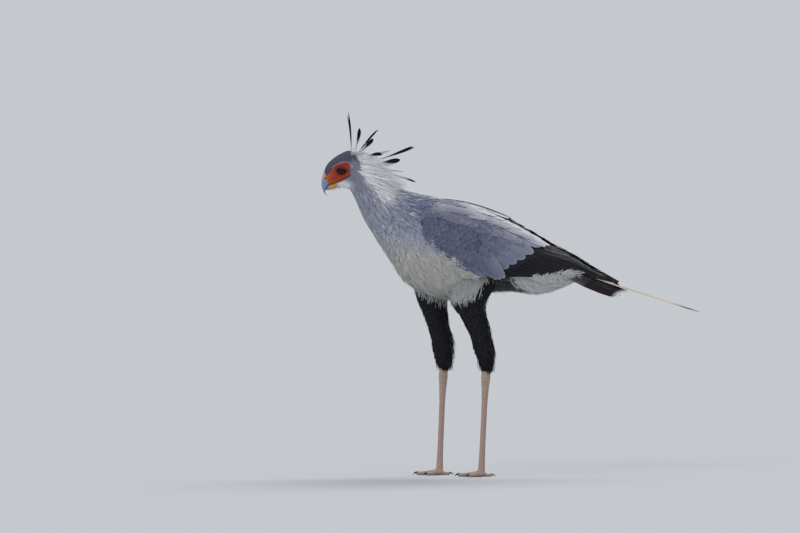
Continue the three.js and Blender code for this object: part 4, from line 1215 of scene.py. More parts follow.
# Rows of a wing's large feathers: curves in the profile through their roots and their tips, each
# from the wing's lower edge to its upper one, then how many, how much they overlap, their height
# at root and tip, how far they sag, and the colours of the lowest and the highest.
FLIGHT_ROWS = {
    "primaries": {
        "roots": [(92, 630), (112, 648), (128, 668)], "tips": [(196, 604), (262, 592), (311, 579)],
        "count": 8, "overlap": 1.9, "rise": (-2.0, 1.0), "sag": 2, "colours": (NIGHT, NIGHT)},
    "secondaries": {
        "roots": [(-80, 612), (40, 616), (84, 694)], "tips": [(-6, 602), (120, 602), (286, 594)],
        "count": 13, "overlap": 1.9, "rise": (-2.0, 1.4), "sag": 3, "colours": (NIGHT, NIGHT)},
    "tertials": {
        "roots": [(60, 690), (36, 728), (-24, 762)], "tips": [(236, 626), (170, 672), (70, 728)],
        "count": 6, "overlap": 1.7, "rise": (-1.5, 2.4), "sag": 2,
        "colours": (tone(34, 33, 40), NIGHT)},
}
# In the coverts' rows the highest feathers are paler: a painted highlight of the light from above
# the wing.
COVERT_ROWS = {
    "greater": {
        "roots": [(-150, 640), (-66, 676), (12, 738)], "tips": [(-88, 607), (2, 622), (88, 692)],
        "count": 8, "overlap": 1.45, "rise": (-1.6, 2.8), "sag": 4,
        "colours": (tone(104, 107, 133), tone(142, 144, 164))},
    "median": {
        "roots": [(-186, 652), (-118, 694), (-44, 766)],
        "tips": [(-126, 622), (-48, 650), (34, 722)],
        "count": 8, "overlap": 1.45, "rise": (-1.6, 3.2), "sag": 3,
        "colours": (tone(90, 93, 122), tone(120, 123, 146))},
    "hanging": {
        "roots": [(-98, 662), (-86, 668), (-70, 672)], "tips": [(-62, 602), (-42, 590), (-24, 598)],
        "count": 4, "overlap": 2.2, "rise": (1.0, 6.0), "sag": 2,
        "colours": (tone(104, 107, 134), tone(130, 132, 152))},
}
SMALLEST_VANE = 9


def bezier(points, t):
    """Points along a curve of the profile through three others."""
    a, b, c = (np.array(p, float) for p in points)
    t = np.asarray(t, float)[:, None]
    return a * (1 - t) ** 2 + b * 2 * t * (1 - t) + c * t ** 2


def wing_row(mesh, side, row, long, rng):
    """One row of feathers, each as wide as its distance to the next one times the overlap."""
    share = np.linspace(0, 1, row["count"])
    roots, tips = bezier(row["roots"], share), bezier(row["tips"], share)
    if long and side == RIGHT:
        tips = roots + (tips - roots) * FAR_WING_REACH
    line = unit(tips - roots)
    tips = tips + line * rng.uniform(-3, 3, (len(share), 1))
    middle = (roots + tips) / 2
    apart = np.gradient(middle, axis=0)
    width = np.abs(line[:, 0] * apart[:, 1] - line[:, 1] * apart[:, 0]) * row["overlap"]
    width = np.maximum(width, SMALLEST_VANE)
    sagging = middle + np.stack([line[:, 1], -line[:, 0]], -1) * row["sag"]
    at = [np.stack(wing_place(p[:, 0], p[:, 1])[:2], -1) for p in (roots, tips, sagging)]
    bend = at[2] - (at[0] + at[1]) / 2
    # For the coverts, the blend towards the highest feather's paler colour is a painted highlight.
    low, high = row["colours"]
    colour = blend(np.tile(low, (len(share), 1)), high, share)
    outline, thick, bow = (QUILL, 0.4, 0.25) if long else (COVERT, 0.45, 0.7)
    lay(mesh, wings[side], at[0], at[1], width, outline, colour, rng.uniform(size=len(share)),
        section=SHAFTED, thick=thick, rise=row["rise"], ease=0.8, tilt=-side, bow=bow,
        core=wing_core, bend=bend, large=True, flat=long)


def lesser_coverts(mesh, side, rng):
    """The small feathers of the shoulder, larger and longer towards the wing's rear, painted silver
    along the wing's top edge as a highlight.
    """
    surface = wings[side]
    root = scatter(surface, 0.75, 5.2, lambda at: np.interp(at, [0.5, 2, 5], [8, 11, 16])
                   * np.array([1, 0.9]), rng, turns=(0.1, 2.25), jitter=0.3)
    point = surface.point(root[:, 0], root[:, 1])
    front = np.array([[-134, 640], [-66, 720], [-4, 775]])
    edge = np.interp(point[:, 2], front[:, 1], front[:, 0])
    root, point = root[point[:, 0] < edge], point[point[:, 0] < edge]
    chance = rng.uniform(size=len(root))
    length = np.interp(root[:, 0], [0.7, 2, 4], [22, 38, 54]) * (0.85 + 0.3 * chance)
    slope = np.radians(lerp(-18, -40, smooth(root[:, 1], 0.4, 1.9)) + rng.normal(0, 4, len(root)))
    aim = sloping(slope)
    tip = aimed(surface, root, length, aim, follow=0.0)
    # shade is 1 on the lower and front coverts; the silver left along the wing's top edge is a
    # painted highlight, not the coverts' own grey.
    shade = np.maximum(smooth(root[:, 1], 0.2, 1.0), 1 - smooth(root[:, 0], 1.2, 2.6))
    deep = np.tile(tone(78, 82, 108), (len(root), 1))
    colour = blend(blend(np.tile(SILVER, (len(root), 1)), deep, shade),
                   tone(106, 110, 136), 0.6 * chance * shade)
    lay(mesh, surface, root, tip, length * 0.52, COVERT, colour, chance, section=ARCHED, thick=0.4,
        rise=(-2.2, 1.4 + 1.2 * chance), ease=0.85, tilt=-side * 0.3, bow=0.8, core=wing_core)


def scapulars(mesh, side, rng):
    """Long grey feathers that run back from the shoulder over the wing's upper edge, painted silver
    along the top as a highlight.
    """
    for turn, start, end, count, length in ((0.95, 2.2, 5.4, 13, 86), (0.62, 2.4, 6.4, 17, 90),
                                            (0.34, 2.2, 6.9, 20, 84), (0.14, 1.8, 6.6, 20, 74)):
        at = np.linspace(end, start, count)
        root = np.stack([at, turn + rng.normal(0, 0.03, count)], -1)
        chance = rng.uniform(size=count)
        slope = np.radians(np.interp(at, [2, 7], [-16, -33]))
        aim = sloping(slope)
        tip = aimed(wings[side], root, length * (0.85 + 0.3 * chance), aim, follow=0.0)
        # Painted highlight: the upper rows turn silver where light falls on the wing's top edge;
        # some more silver varies at random.
        top = (1 - smooth(turn, 0.3, 0.9)) * 0.8 * smooth(at, 1.8, 3.2)
        plain = np.tile(tone(94, 97, 125), (count, 1))
        colour = blend(plain, SILVER, top + 0.3 * chance * (1 - top))
        lay(mesh, wings[side], root, tip, np.interp(at, [2, 4], [18, 26]), COVERT, colour, chance,
            section=SHAFTED, thick=0.4, rise=(-1.0, 5.0), ease=0.8, tilt=-side * 0.8, bow=0.5,
            core=wing_core, large=True)


def back_feathers():
    """Feathers along the middle of the back, over the gap between both wings."""
    rng = np.random.default_rng(55)
    mesh = Mesh()
    for side in SIDES:
        along = np.arange(4.9, 1.0, -0.27) + 0.13 * (side > 0)
        count = len(along)
        tx, tz, _, _, _ = read_rows(WING, along)
        lift = FAR_WING_RISE * np.clip((along - 2.6) / 3, 0, 1)
        root = np.stack([tx, np.full(count, side * 8.0), tz + lift], -1)
        end = read_rows(WING, along + 1.15)
        chance = rng.uniform(size=count)
        tip = np.stack([end[0], side * (9 + 3 * chance), end[1] + lift + 7], -1)
        control = (root + tip) / 2 + np.array([0, 0, 5])
        across = np.tile([0.0, 1.0, -0.3 * side], (count, 1))
        # Painted highlight: the back's feathers are painted silver towards the top of the back, by
        # a share that varies at random.
        painted_highlight = smooth(along, 1.3, 2.8) * (0.5 + 0.3 * chance)
        colour = blend(np.tile(MANTLE, (count, 1)), SILVER, painted_highlight)
        free(mesh, root, control, tip, across, 36, COVERT, colour, chance, section=SHAFTED,
             thick=0.4, bow=0.4, large=True)
    mesh.wear("back_feathers", "covert", "wing_plumage")


def wing(side):
    """One folded wing: its long feathers, and the coverts and scapulars over them."""
    rng = np.random.default_rng(31 + side)
    name = SIDES[side]
    flight = Mesh()
    for row in FLIGHT_ROWS.values():
        wing_row(flight, side, row, True, rng)
    flight.wear(f"flight_feathers_{name}", "flight", "wing_plumage", [f"wing_{name}"])
    coverts = Mesh()
    for row in COVERT_ROWS.values():
        wing_row(coverts, side, row, False, rng)
    lesser_coverts(coverts, side, rng)
    scapulars(coverts, side, rng)
    coverts.wear(f"wing_coverts_{name}", "covert", "wing_plumage")


def wing_roots(curve, count, spread, rng):
    """Places on the wing near a curve of the profile, and the curve's own points."""
    edge = bezier(curve, rng.uniform(size=count))
    spot = edge + rng.normal(0, spread, (count, 2))
    along, turn, _ = wing_place(spot[:, 0], spot[:, 1])
    return np.stack([np.clip(along, 1.0, 10), np.clip(turn, 0.1, 2.35)], -1), edge


def wing_fluff(side):
    """Pale down of the flank that spreads up over the flight feathers' lower edge."""
    rng = np.random.default_rng(45 + side)
    count = FLANK_LOCKS
    root, edge = wing_roots([(64, 580), (118, 588), (188, 602)], count, 6, rng)
    rear = smooth(edge[:, 0], 60, 150)
    slope = np.radians(rng.normal(0, 26, count) + 12 * rear)
    aim = sloping(slope)
    chance = rng.uniform(size=count)
    tip = aimed(wings[side], root, lerp(5, 16, rear) + 18 * chance ** 2, aim, follow=0.0)
    colour = blend(np.tile(UNDERTAIL, (count, 1)), CREAM, 0.6 * rng.uniform(size=count))
    plumage(f"flank_down_{SIDES[side]}", "down", "body_plumage", wings[side], root, tip,
            1.6 + 1.6 * chance, LOCK, colour, chance, thick=0.3,
            rise=(-1.5, 1.0 + 3.0 * chance ** 2), core=wing_core)


def wing_hem(side):
    """Soft breast feathers that spread over the wing's lower front edge."""
    rng = np.random.default_rng(41 + side)
    count = HEM_LOCKS
    root, edge = wing_roots([(-276, 716), (-246, 648), (-130, 592)], count, 7, rng)
    slope = np.radians(rng.normal(-28, 14, count))
    aim = sloping(slope)
    chance = rng.uniform(size=count)
    tip = aimed(wings[side], root, 22 + 20 * chance, aim, follow=0.0)
    back = smooth(edge[:, 0], -250, -170)
    front = np.tile(tone(142, 148, 166), (count, 1))
    colour = blend(blend(front, CREAM, back), WHITE, 0.25 * rng.uniform(size=count))
    plumage(f"breast_hem_{SIDES[side]}", "down", "body_plumage", wings[side], root, tip,
            2.2 + 2.2 * chance, LOCK, colour, chance, thick=0.35, rise=(-4, 3.0 + 2.5 * chance),
            core=wing_core)


# Tail

def tail_feathers():
    """Twelve tail feathers in an arch, and the two long streamers over them."""
    rng = np.random.default_rng(51)
    mesh = Mesh()
    s = QUILL[:, 0]
    band = smooth(s, 0.3, 0.42)
    tip_white = smooth(s, 0.93, 0.96)
    shades = blend(np.broadcast_to(tone(176, 174, 176), (len(s), 3)), NIGHT, band)
    shades = blend(shades, WHITE, tip_white)
    for k in range(6):
        for side in SIDES:
            angle = side * math.radians(5 + 11.5 * k)
            lift = -1.0 - 1.1 * (2 * k + (side > 0))
            root = np.array([[12.0, angle * 0.8]])
            tip = np.array([[TAIL_LENGTH - 5 * k + rng.uniform(-3, 3), angle]])
            lay(mesh, tail, root, tip, 30, QUILL, shades[None], [rng.uniform()], section=SHAFTED,
                thick=0.45, rise=(lift, lift), bow=0.5, large=True)
    for side in SIDES:
        root = tail_point(np.array(22.0), np.array(side * 0.16)) + np.array([0, 0, 0.8])
        control = tail_point(np.array(236.0), np.array(side * 0.3)) + np.array([0, 0, 3.0])
        tip = np.array([STREAMER_TIP[0], side * 11.0, STREAMER_TIP[1]])
        t = STREAMER[:, 0]
        pale = np.broadcast_to(tone(158, 156, 160), (len(t), 3))
        colour = blend(pale, STREAM, smooth(t, 0.3, 0.6))
        colour = blend(colour, NIGHT, smooth(t, 0.84, 0.9))
        colour = blend(colour, WHITE, smooth(t, 0.975, 0.99))
        free(mesh, root[None], control[None], tip[None], np.array([[0, 1.0, side * -0.3]]), 16,
             STREAMER, colour[None], [0.5], section=SHAFTED, thick=0.5, bow=0.6, large=True)
    mesh.wear("tail_feathers", "tail", "tail_plumage", ["tail"])


# Crest: root x and z, tip x and z, width, how far the line bends, and the roll in degrees.
CREST = [
    (-482, 966, -491, 1092, 4.5, "lance", 6, 60), (-474, 963, -457, 1044, 9, "plume", -3, 80),
    (-468, 959, -401, 1039, 6, "lance", 5, 50), (-465, 956, -416, 1012, 10.5, "plume", 3, 75),
    (-462, 952, -386, 967, 11, "plume", 4, 70), (-460, 949, -363, 977, 6, "white", 3, 50),
    (-438, 938, -293, 987, 7, "plume", -6, 60), (-430, 931, -335, 949, 13.5, "plume", 3, 75),
    (-427, 927, -352, 936, 7, "white", 2, 60), (-416, 918, -323, 914, 4.5, "white", 3, 55),
    (-410, 911, -287, 880, 6.5, "tipped", 8, 50),
]


def crest():
    """The loose plumes of crown and nape, in pairs that stand one behind the other."""
    mesh = Mesh()
    for i, (rx, rz, tx, tz, width, kind, bend, roll) in enumerate(CREST):
        for side in SIDES:
            partner = (side < 0) == (i % 2 == 0)
            out = 3 + (i * 5) % 9
            reach = 0.93 + 0.015 * (i % 4) if partner else 1
            turn = math.radians(1.6 * (1 if i % 2 else -1)) if partner else 0
            root = np.array([rx, side * out, rz], float)
            dx, dz = (tx - rx) * reach, (tz - rz) * reach
            chord = np.array([dx * math.cos(turn) + dz * math.sin(turn), 0,
                              dz * math.cos(turn) - dx * math.sin(turn)])
            tip = root + chord
            tip[1] = side * (out + 6 + (i * 7) % 17)
            normal = unit(np.array([-chord[2], 0, chord[0]]))
            normal = normal if normal[2] > 0 else -normal
            control = lerp(root, tip, 0.55) + normal * bend
            angle = math.radians(roll)
            across = np.array([0, math.cos(angle), 0]) + normal * side * math.sin(angle)
            outline = PLUME if kind == "plume" else LANCE_FINE
            s = outline[:, 0]
            low, high = {"lance": (0.1, 0.3), "plume": (0.3, 0.55), "white": (1.2, 1.3),
                         "tipped": (0.78, 0.84)}[kind]
            pale = np.broadcast_to(tone(214, 212, 218), (len(s), 3))
            colour = blend(pale, SOOT, smooth(s, low, high))
            free(mesh, root[None], control[None], tip[None], across[None], width, outline,
                 colour[None], [0.5], section=SHAFTED, thick=0.5, bow=0.4, large=True)
    mesh.wear("crest_plumes", "crest", "head_plumage")


def mane():
    """White locks from the nape that stand off between the plumes, shorter down the neck."""
    rng = np.random.default_rng(61)
    count = MANE_LOCKS
    angle = np.clip(rng.normal(0, 0.6, count), -1.4, 1.4)
    first = 5.7 + 0.7 * np.abs(angle) + rng.normal(0, 0.2, count)
    at = lerp(first, 9.7, rng.uniform(size=count) ** 1.1)
    root, _, _, normal = body.frame(at, angle)
    root = root - normal * 2
    _, along, _, _ = body.frame(at, angle)
    chance = rng.uniform(size=count)
    loose = rng.uniform(size=count) ** 2.2
    back = unit(unit(along) + np.array([0.75, 0, 0.28]) * (0.25 + 0.9 * loose)[:, None]
                + normal * (0.1 + 0.3 * loose)[:, None] + rng.normal(0, 0.13, (count, 3)))
    length = np.interp(at, [5.6, 7, 9.5], [34, 46, 38]) * (0.7 + 0.9 * loose)
    tip = root + back * length[:, None]
    halfway = back * 0.45 + normal * 0.1 + rng.normal(0, 0.05, (count, 3))
    control = root + halfway * length[:, None]
    tip[:, 2] -= 2 + 5 * chance * loose
    across = unit(np.cross(back, normal))
    colour = blend(np.tile(WHITE, (count, 1)), LAVENDER, 0.35 * chance * smooth(at, 8.2, 9.7))
    mesh = Mesh()
    free(mesh, root, control, tip, across, 0.8 + 1.1 * chance, LOCK, colour, chance, thick=0.3,
         roots=root_map(body, np.stack([at, angle], -1)))
    count = CREST_LOCKS
    at = rng.uniform(5.15, 7.4, count)
    angle = rng.normal(0, 0.3, count)
    root, along, _, normal = body.frame(at, angle)
    chance = rng.uniform(size=count)
    aim = unit(unit(along) * lerp(0.25, 1.0, smooth(at, 5, 7))[:, None] + normal
               + rng.normal(0, 0.16, (count, 3)))
    length = (16 + 34 * chance ** 2)[:, None]
    control = root + aim * length * 0.5
    tip = root + aim * length + unit(along) * length * 0.15
    free(mesh, root - normal * 2, control, tip, unit(np.cross(aim, along)), 1.0 + chance, LOCK,
         np.tile(WHITE, (count, 1)), chance, thick=0.3,
         roots=root_map(body, np.stack([at, angle], -1)))
    mesh.wear("mane_locks", "white", "neck_plumage")


# Head

def rod(points, radii, sides=12, squash=1.0, across=(0, 1, 0)):
    """Rings round a line of points."""
    points = np.asarray(points, float)
    forward = unit(np.gradient(points, axis=0))
    across = np.asarray(across, float)
    side = unit(across - forward * (forward @ across)[:, None])
    up = np.cross(forward, side)
    turn = np.linspace(0, 2 * PI, sides, endpoint=False)
    radii = np.broadcast_to(np.asarray(radii, float), (len(points),))[:, None, None]
    return points[:, None] + radii * (
        side[:, None] * np.cos(turn)[None, :, None]
        + up[:, None] * squash * np.sin(turn)[None, :, None])


def section_rings(rows, steps, sides, fullness):
    """Rings through rows of sizes, with the place and angle of each point."""
    at, angle = np.meshgrid(np.linspace(0, len(rows) - 1, steps),
                            np.linspace(-PI, PI, sides, endpoint=False), indexing="ij")
    tx, tz, bx, bz, half = read_rows(rows, at)
    up, side = np.cos(angle), np.sin(angle)
    rings = np.stack([(tx + bx) / 2 + (tx - bx) / 2 * up, half * side * (1 + fullness * up),
                      (tz + bz) / 2 + (tz - bz) / 2 * up], -1)
    return at, angle, rings


def bill():
    """The hooked upper bill with its cere and nostrils, and the lower bill."""
    horn, horn_dark, hook = tone(118, 142, 182), tone(82, 98, 134), tone(210, 204, 192)
    mesh = Mesh()
    at, angle, rings = section_rings(UPPER_BILL, 84, 64, -0.1)
    x, y, z = np.moveaxis(rings, -1, 0)
    tilt = NOSTRIL["tilt"]
    dx, dz = x - NOSTRIL["at"][0], z - NOSTRIL["at"][1]
    slot = np.hypot((dx * math.cos(tilt) - dz * math.sin(tilt)) / NOSTRIL["length"],
                    (dx * math.sin(tilt) + dz * math.cos(tilt)) / NOSTRIL["height"])
    hole = np.exp(-(slot ** 4)) * (np.abs(y) > 5)
    rings[..., 1] -= np.sign(y) * 2.6 * hole
    cere = smooth(z - 889 + (x + 570) * 0.55, -1.5, 3)
    swell = 0.6 * cere * np.sin(np.abs(angle))
    rings[..., 1] += np.sign(y) * swell
    colour = blend(np.broadcast_to(horn, rings.shape), horn_dark, smooth(np.abs(angle), 1.9, 2.8))
    colour = blend(colour, hook, smooth(at, 5.2, 6.4))
    # The pale front of the cere is a painted highlight over its orange, where light catches the
    # bill's base.
    root = blend(face_colour(x, z), tone(176, 166, 156), smooth(-x, 556, 564) * 0.8)
    colour = blend(colour, root, cere)
    # Painted shade: the nostril's hollow is painted dark.
    colour = blend(colour, GAPE, hole)
    mesh.tube(rings, colour)
    mesh.wear("upper_bill_horn", "bill", "bill_horn", ["upper_bill"], crease=60, coat=False)
    mesh = Mesh()
    at, angle, rings = section_rings(LOWER_BILL, 50, 48, -0.1)
    x, y, z = np.moveaxis(rings, -1, 0)
    colour = blend(np.broadcast_to(YELLOW, rings.shape), horn, smooth(-x, 546, 553))
    mesh.tube(rings, colour)
    mesh.wear("lower_bill_horn", "bill", "bill_horn", ["lower_bill"], crease=60, coat=False)


def eyes():
    """Two eyeballs, each with a clear front that bulges a little."""
    for side, name in SIDES.items():
        reach = np.linspace(0.02, PI - 0.02, 40)
        turn = np.linspace(0, 2 * PI, 48, endpoint=False)
        radius = EYE["radius"] + 0.7 * np.exp(-((reach / 0.55) ** 2))
        rings = np.stack([
            EYE["x"] + (radius * np.sin(reach))[:, None] * np.cos(turn),
            side * (EYE["y"] + (radius * np.cos(reach))[:, None] + 0 * turn),
            EYE["z"] + (radius * np.sin(reach))[:, None] * np.sin(turn)], -1)
        mesh = Mesh()
        mesh.tube(rings, np.zeros(3))
        mesh.places[-1][:, 0] = np.repeat(reach, len(turn))
        mesh.places[-1][:, 1] = np.tile(turn, len(reach))
        mesh.wear(f"eyeball_{name}", "eye", "eye", [f"eye_{name}"], coat=False)


def eye_curve(side, t, wide, high, out):
    """A point of a ring round the eye: wide and high are its half sizes, out its distance."""
    tilt = EYE["tilt"]
    ex = wide * np.cos(t)
    ez = high * np.sin(t) * (1 + 0.18 * np.cos(t + 0.6))
    x = ex * math.cos(tilt) - ez * math.sin(tilt)
    z = ex * math.sin(tilt) + ez * math.cos(tilt)
    y = np.sqrt(np.maximum(out ** 2 - (x * 0.8) ** 2 - (z * 0.8) ** 2, 1))
    return np.stack([EYE["x"] + x, side * (EYE["y"] + y), EYE["z"] + z], -1)


def torus(mesh, line, radii, colour, sides=10):
    """A closed ring of round sections, coloured from its inner to its outer side."""
    forward = unit(np.roll(line, -1, 0) - np.roll(line, 1, 0))
    middle = line.mean(0)
    out = line - middle
    out = unit(out - forward * dot(out, forward)[:, None])
    up = np.cross(forward, out)
    turn = np.linspace(0, 2 * PI, sides, endpoint=False)
    points = line[:, None] + np.asarray(radii)[:, None, None] * (
        out[:, None] * np.cos(turn)[None, :, None] + up[:, None] * np.sin(turn)[None, :, None])
    count = len(line)
    ring, step = np.meshgrid(np.arange(count), np.arange(sides), indexing="ij")
    after, beside = (ring + 1) % count, (step + 1) % sides
    faces = np.stack([ring * sides + step, after * sides + step, after * sides + beside,
                      ring * sides + beside], -1).reshape(-1, 4)
    places = np.zeros(points.shape)
    shade = blend(np.broadcast_to(colour[0], points.shape), colour[1],
                  np.broadcast_to(smooth(np.cos(turn), -0.4, 0.5)[None], points.shape[:2]))
    mesh.add(points[None], faces, places, shade, places[..., :2])


def lids():
    """Four rings round each eye, from the lid's dark rim to the red skin."""
    rim = tone(22, 15, 15)
    t = np.linspace(0, 2 * PI, 96, endpoint=False)
    upper = smooth(np.sin(t), -0.3, 0.6)
    fold = tone(120, 34, 22)
    for side, name in SIDES.items():
        mesh = Mesh()
        torus(mesh, eye_curve(side, t, 9.7, 5.3, 10.5), 0.8 + 0.6 * upper, (rim, GAPE))
        torus(mesh, eye_curve(side, t, 11.6, 6.9, 11.2), 0.9 + 0.9 * upper, (GAPE, GAPE))
        torus(mesh, eye_curve(side, t, 13.9, 9.0, 11.4), 0.9 + 0.5 * upper, (GAPE, fold))
        torus(mesh, eye_curve(side, t, 16.4, 11.4, 11.6), 0.7 + 0.3 * upper, (fold, SCARLET))
        mesh.wear(f"eyelids_{name}", "skin", "head_plumage", crease=70, coat=False)


def lashes():
    """Long upper and short lower lashes."""
    rng = np.random.default_rng(71)
    mesh = Mesh()
    for side in SIDES:
        for low, high, count, length in ((0.15, 3.0, 26, 12.5), (3.5, 5.9, 14, 5)):
            t = np.linspace(low, high, count) + rng.uniform(-0.05, 0.05, count)
            root = eye_curve(side, t, 11.2, 7.2, 12.4)
            centre = np.array([EYE["x"], side * EYE["y"], EYE["z"]])
            out = unit(root - centre + np.array([0, side * 5.0, 0]))
            long = length * (0.75 + 0.5 * rng.uniform(size=count))
            sweep = np.array([0.35, 0, 0.1]) * np.sign(np.cos(t))[:, None]
            tip = root + unit(out + sweep) * long[:, None]
            control = root + out * (long * 0.55)[:, None] - np.array([0, 0, 1.2])
            across = np.tile([1.0, 0, 0.3], (count, 1))
            free(mesh, root, control, tip, across, 1.1, LOCK, np.tile(LASH, (count, 1)),
                 rng.uniform(size=count), thick=0.35, taper=0.3)
    mesh.wear("lashes", "bristle", "eye")


def bristles():
    """Fine white bristles on the chin and round the bill's base, and sparse dark face ones."""
    rng = np.random.default_rng(72)
    groups = (("chin_bristles", 110, (1.2, 4.2), (PI, 0.3), WHITE, 6, 7, 1.2),
              ("face_bristles", 150, (1.2, 4.6), (1.75, 0.28), LASH, 2.2, 2.2, 0.5))
    for name, count, span, (middle, spread), shade, short, more, width in groups:
        at = rng.uniform(*span, count)
        angle = (middle + rng.normal(0, spread, count)) * rng.choice([-1, 1], count)
        root, along, _, normal = body.frame(at, angle)
        x, y, z = root.T
        keep = (bare(x, z, y) > 0.9) | (shade is WHITE)
        root, along, normal, at, angle = (v[keep] for v in (root, along, normal, at, angle))
        count = len(root)
        chance = rng.uniform(size=count)
        aim = unit(unit(along) * 0.5 + normal * 0.35 + rng.normal(0, 0.25, (count, 3)))
        tip = root + aim * (short + more * chance)[:, None]
        control = root + (aim + normal * 0.2) * ((short + more * chance) / 2)[:, None]
        mesh = Mesh()
        free(mesh, root - normal * 0.8, control, tip, unit(np.cross(aim, normal)), width, LOCK,
             np.tile(shade, (count, 1)), chance, thick=width / 5,
             roots=root_map(body, np.stack([at, angle], -1)))
        mesh.wear(name, "down" if shade is WHITE else "bristle", "head_plumage")


# Legs

def scute_rings(line, radii, front, count, sides, scutes, rise, back_scales):
    """Rings along a line, raised in overlapping scutes on its front and small scales behind."""
    knots = np.linspace(0, 1, len(line))
    u = np.linspace(0, 1, count)
    points = np.stack([np.interp(u, knots, line[:, k]) for k in range(3)], -1)
    radius = np.interp(u, np.linspace(0, 1, len(radii)), radii)
    forward = unit(np.gradient(points, axis=0))
    face = unit(front - forward * (forward @ front)[:, None])
    side = np.cross(forward, face)
    turn = np.linspace(0, 2 * PI, sides, endpoint=False)
    facing = smooth(np.cos(turn), -0.1, 0.35)[None]
    saw = ((u * scutes) % 1)[:, None]
    plate = rise * (smooth(saw, 0, 0.16) * (1 - 0.35 * saw)) * facing
    cells = np.cos(u[:, None] * back_scales * 2 * PI) * np.cos(turn[None] * 6 + PI * np.floor(
        u[:, None] * back_scales * 2))
    plate = plate + 0.28 * rise * cells * (1 - facing)
    reach = radius[:, None] + plate
    rings = points[:, None] + reach[..., None] * (
        face[:, None] * np.cos(turn)[None, :, None] + side[:, None] * np.sin(turn)[None, :, None])
    behind = 0.5 * smooth(-cells, 0.2, 0.9) * (1 - facing)
    dark = np.maximum((1 - smooth(saw, 0, 0.14)) * facing, behind)
    return rings, dark


def smooth_line(points, steps):
    """Points along a smooth curve through others."""
    t = np.linspace(0, len(points) - 1, steps)
    return np.stack(read_rows(points, t), -1)


def foot_centre(side):
    """Where the toes of a foot meet."""
    return np.array([LEGS[side]["foot"], side * FOOT_Y, TOE_JOINT_Z], float)


def toe_line(side, turn, length, radius):
    """A toe's root, knuckle and end, and the way it points."""
    heading = math.radians(180 + side * -turn)
    forward = np.array([math.cos(heading), math.sin(heading), 0])
    start = foot_centre(side) + np.array([0, 0, 4])
    knuckle = start + forward * length * 0.45
    knuckle[2] = radius * 0.94
    end = start + forward * length
    end[2] = radius * 0.62
    return start, knuckle, end, forward


def leg_tube(name, rings, dark):
    """A scaly tube, darker in the furrows between its scales."""
    mesh = Mesh()
    colour = blend(np.broadcast_to(LEG_PALE, rings.shape), tone(96, 78, 70), 0.75 * dark)
    mesh.tube(rings, colour)
    return mesh.build(name, FINISHES["scales"], crease=70, coat=False)


def leg(side):
    """One leg below the feathers: tarsus, toes and pad in one mesh, and four claws."""
    name = SIDES[side]
    top = np.array([LEGS[side]["ankle"], side * LEG_Y, ANKLE_Z + 22], float)
    bottom = np.array([LEGS[side]["foot"], side * FOOT_Y, 12], float)
    line = np.array([lerp(top, bottom, t) for t in (0, 0.33, 0.66, 1)])
    ahead = np.array([-1.0, 0, 0])
    rings, dark = scute_rings(line, TARSUS_RADII, ahead, 400, 32, 30, 0.9, 60)
    parts = [leg_tube(f"tarsus_scales_{name}", rings, dark)]
    for toe, (turn, length, radius) in TOES.items():
        start, knuckle, end, forward = toe_line(side, turn, length, radius)
        radii = np.interp(np.linspace(0, 1, 41), TOE_SHAPE[0], TOE_SHAPE[1]) * radius
        line = smooth_line([start, knuckle, end + forward * TOE_PAST_CLAW], 20)
        rings, dark = scute_rings(line, radii, np.array([0, 0, 1.0]), int(length * 1.6), 24,
                                  max(4, length // 5), 0.7, length / 4)
        parts.append(leg_tube(f"toe_{toe}_{name}", rings, dark))
    centre = foot_centre(side) + np.array([-4, 0, 1])
    reach = np.linspace(0.05, PI - 0.05, 24)
    turn = np.linspace(0, 2 * PI, 32, endpoint=False)
    ball = np.stack([
        centre[0] + 17 * np.sin(reach)[:, None] * np.cos(turn),
        centre[1] + 14 * np.sin(reach)[:, None] * np.sin(turn),
        centre[2] + 10.5 * np.cos(reach)[:, None] + 0 * turn], -1)
    mesh = Mesh()
    mesh.tube(ball, LEG_PALE)
    parts.append(mesh.build(f"pad_{name}", FINISHES["scales"], crease=70, coat=False))
    piece = united(parts, f"leg_{name}")
    flatten(piece)
    dress(piece, [f"tarsus_{name}", f"foot_{name}"])
    for toe, (turn, length, radius) in TOES.items():
        claw(side, toe, turn, length, radius)


def united(parts, name):
    """One closed mesh from overlapping ones. Colours come back from the nearest of their points."""
    points = np.concatenate([mesh_array(p.data, "vertices", "co", 3) for p in parts])
    colours = np.concatenate([attribute_array(p.data, "marking", "color", 4) for p in parts])
    first, *others = parts
    group = bpy.data.collections.new(name)
    for other in others:
        group.objects.link(other)
    cut = first.modifiers.new("union", "BOOLEAN")
    cut.operation = "UNION"
    cut.operand_type = "COLLECTION"
    cut.collection = group
    cut.solver = "MANIFOLD"
    view = bpy.context.evaluated_depsgraph_get()
    mesh = bpy.data.meshes.new_from_object(first.evaluated_get(view))
    first.modifiers.clear()
    for other in others:
        bpy.data.objects.remove(other)
    bpy.data.collections.remove(group)
    first.data = mesh
    first.name = mesh.name = name
    tree = kdtree.KDTree(len(points))
    for i, point in enumerate(points):
        tree.insert(point, i)
    tree.balance()
    nearest = [tree.find(v.co)[1] for v in mesh.vertices]
    values = colours[nearest].astype(np.float32).ravel()
    mesh.attributes["marking"].data.foreach_set("color", values)
    mesh.set_sharp_from_angle(angle=math.radians(70))
    return first


def mesh_array(mesh, domain, key, width):
    """A row of numbers for each vertex of a mesh."""
    values = np.empty(len(getattr(mesh, domain)) * width, np.float32)
    getattr(mesh, domain).foreach_get(key, values)
    return values.reshape(-1, width)


def attribute_array(mesh, name, key, width):
    """A row of numbers for each value of a mesh's attribute."""
    values = np.empty(len(mesh.attributes[name].data) * width, np.float32)
    mesh.attributes[name].data.foreach_get(key, values)
    return values.reshape(-1, width)


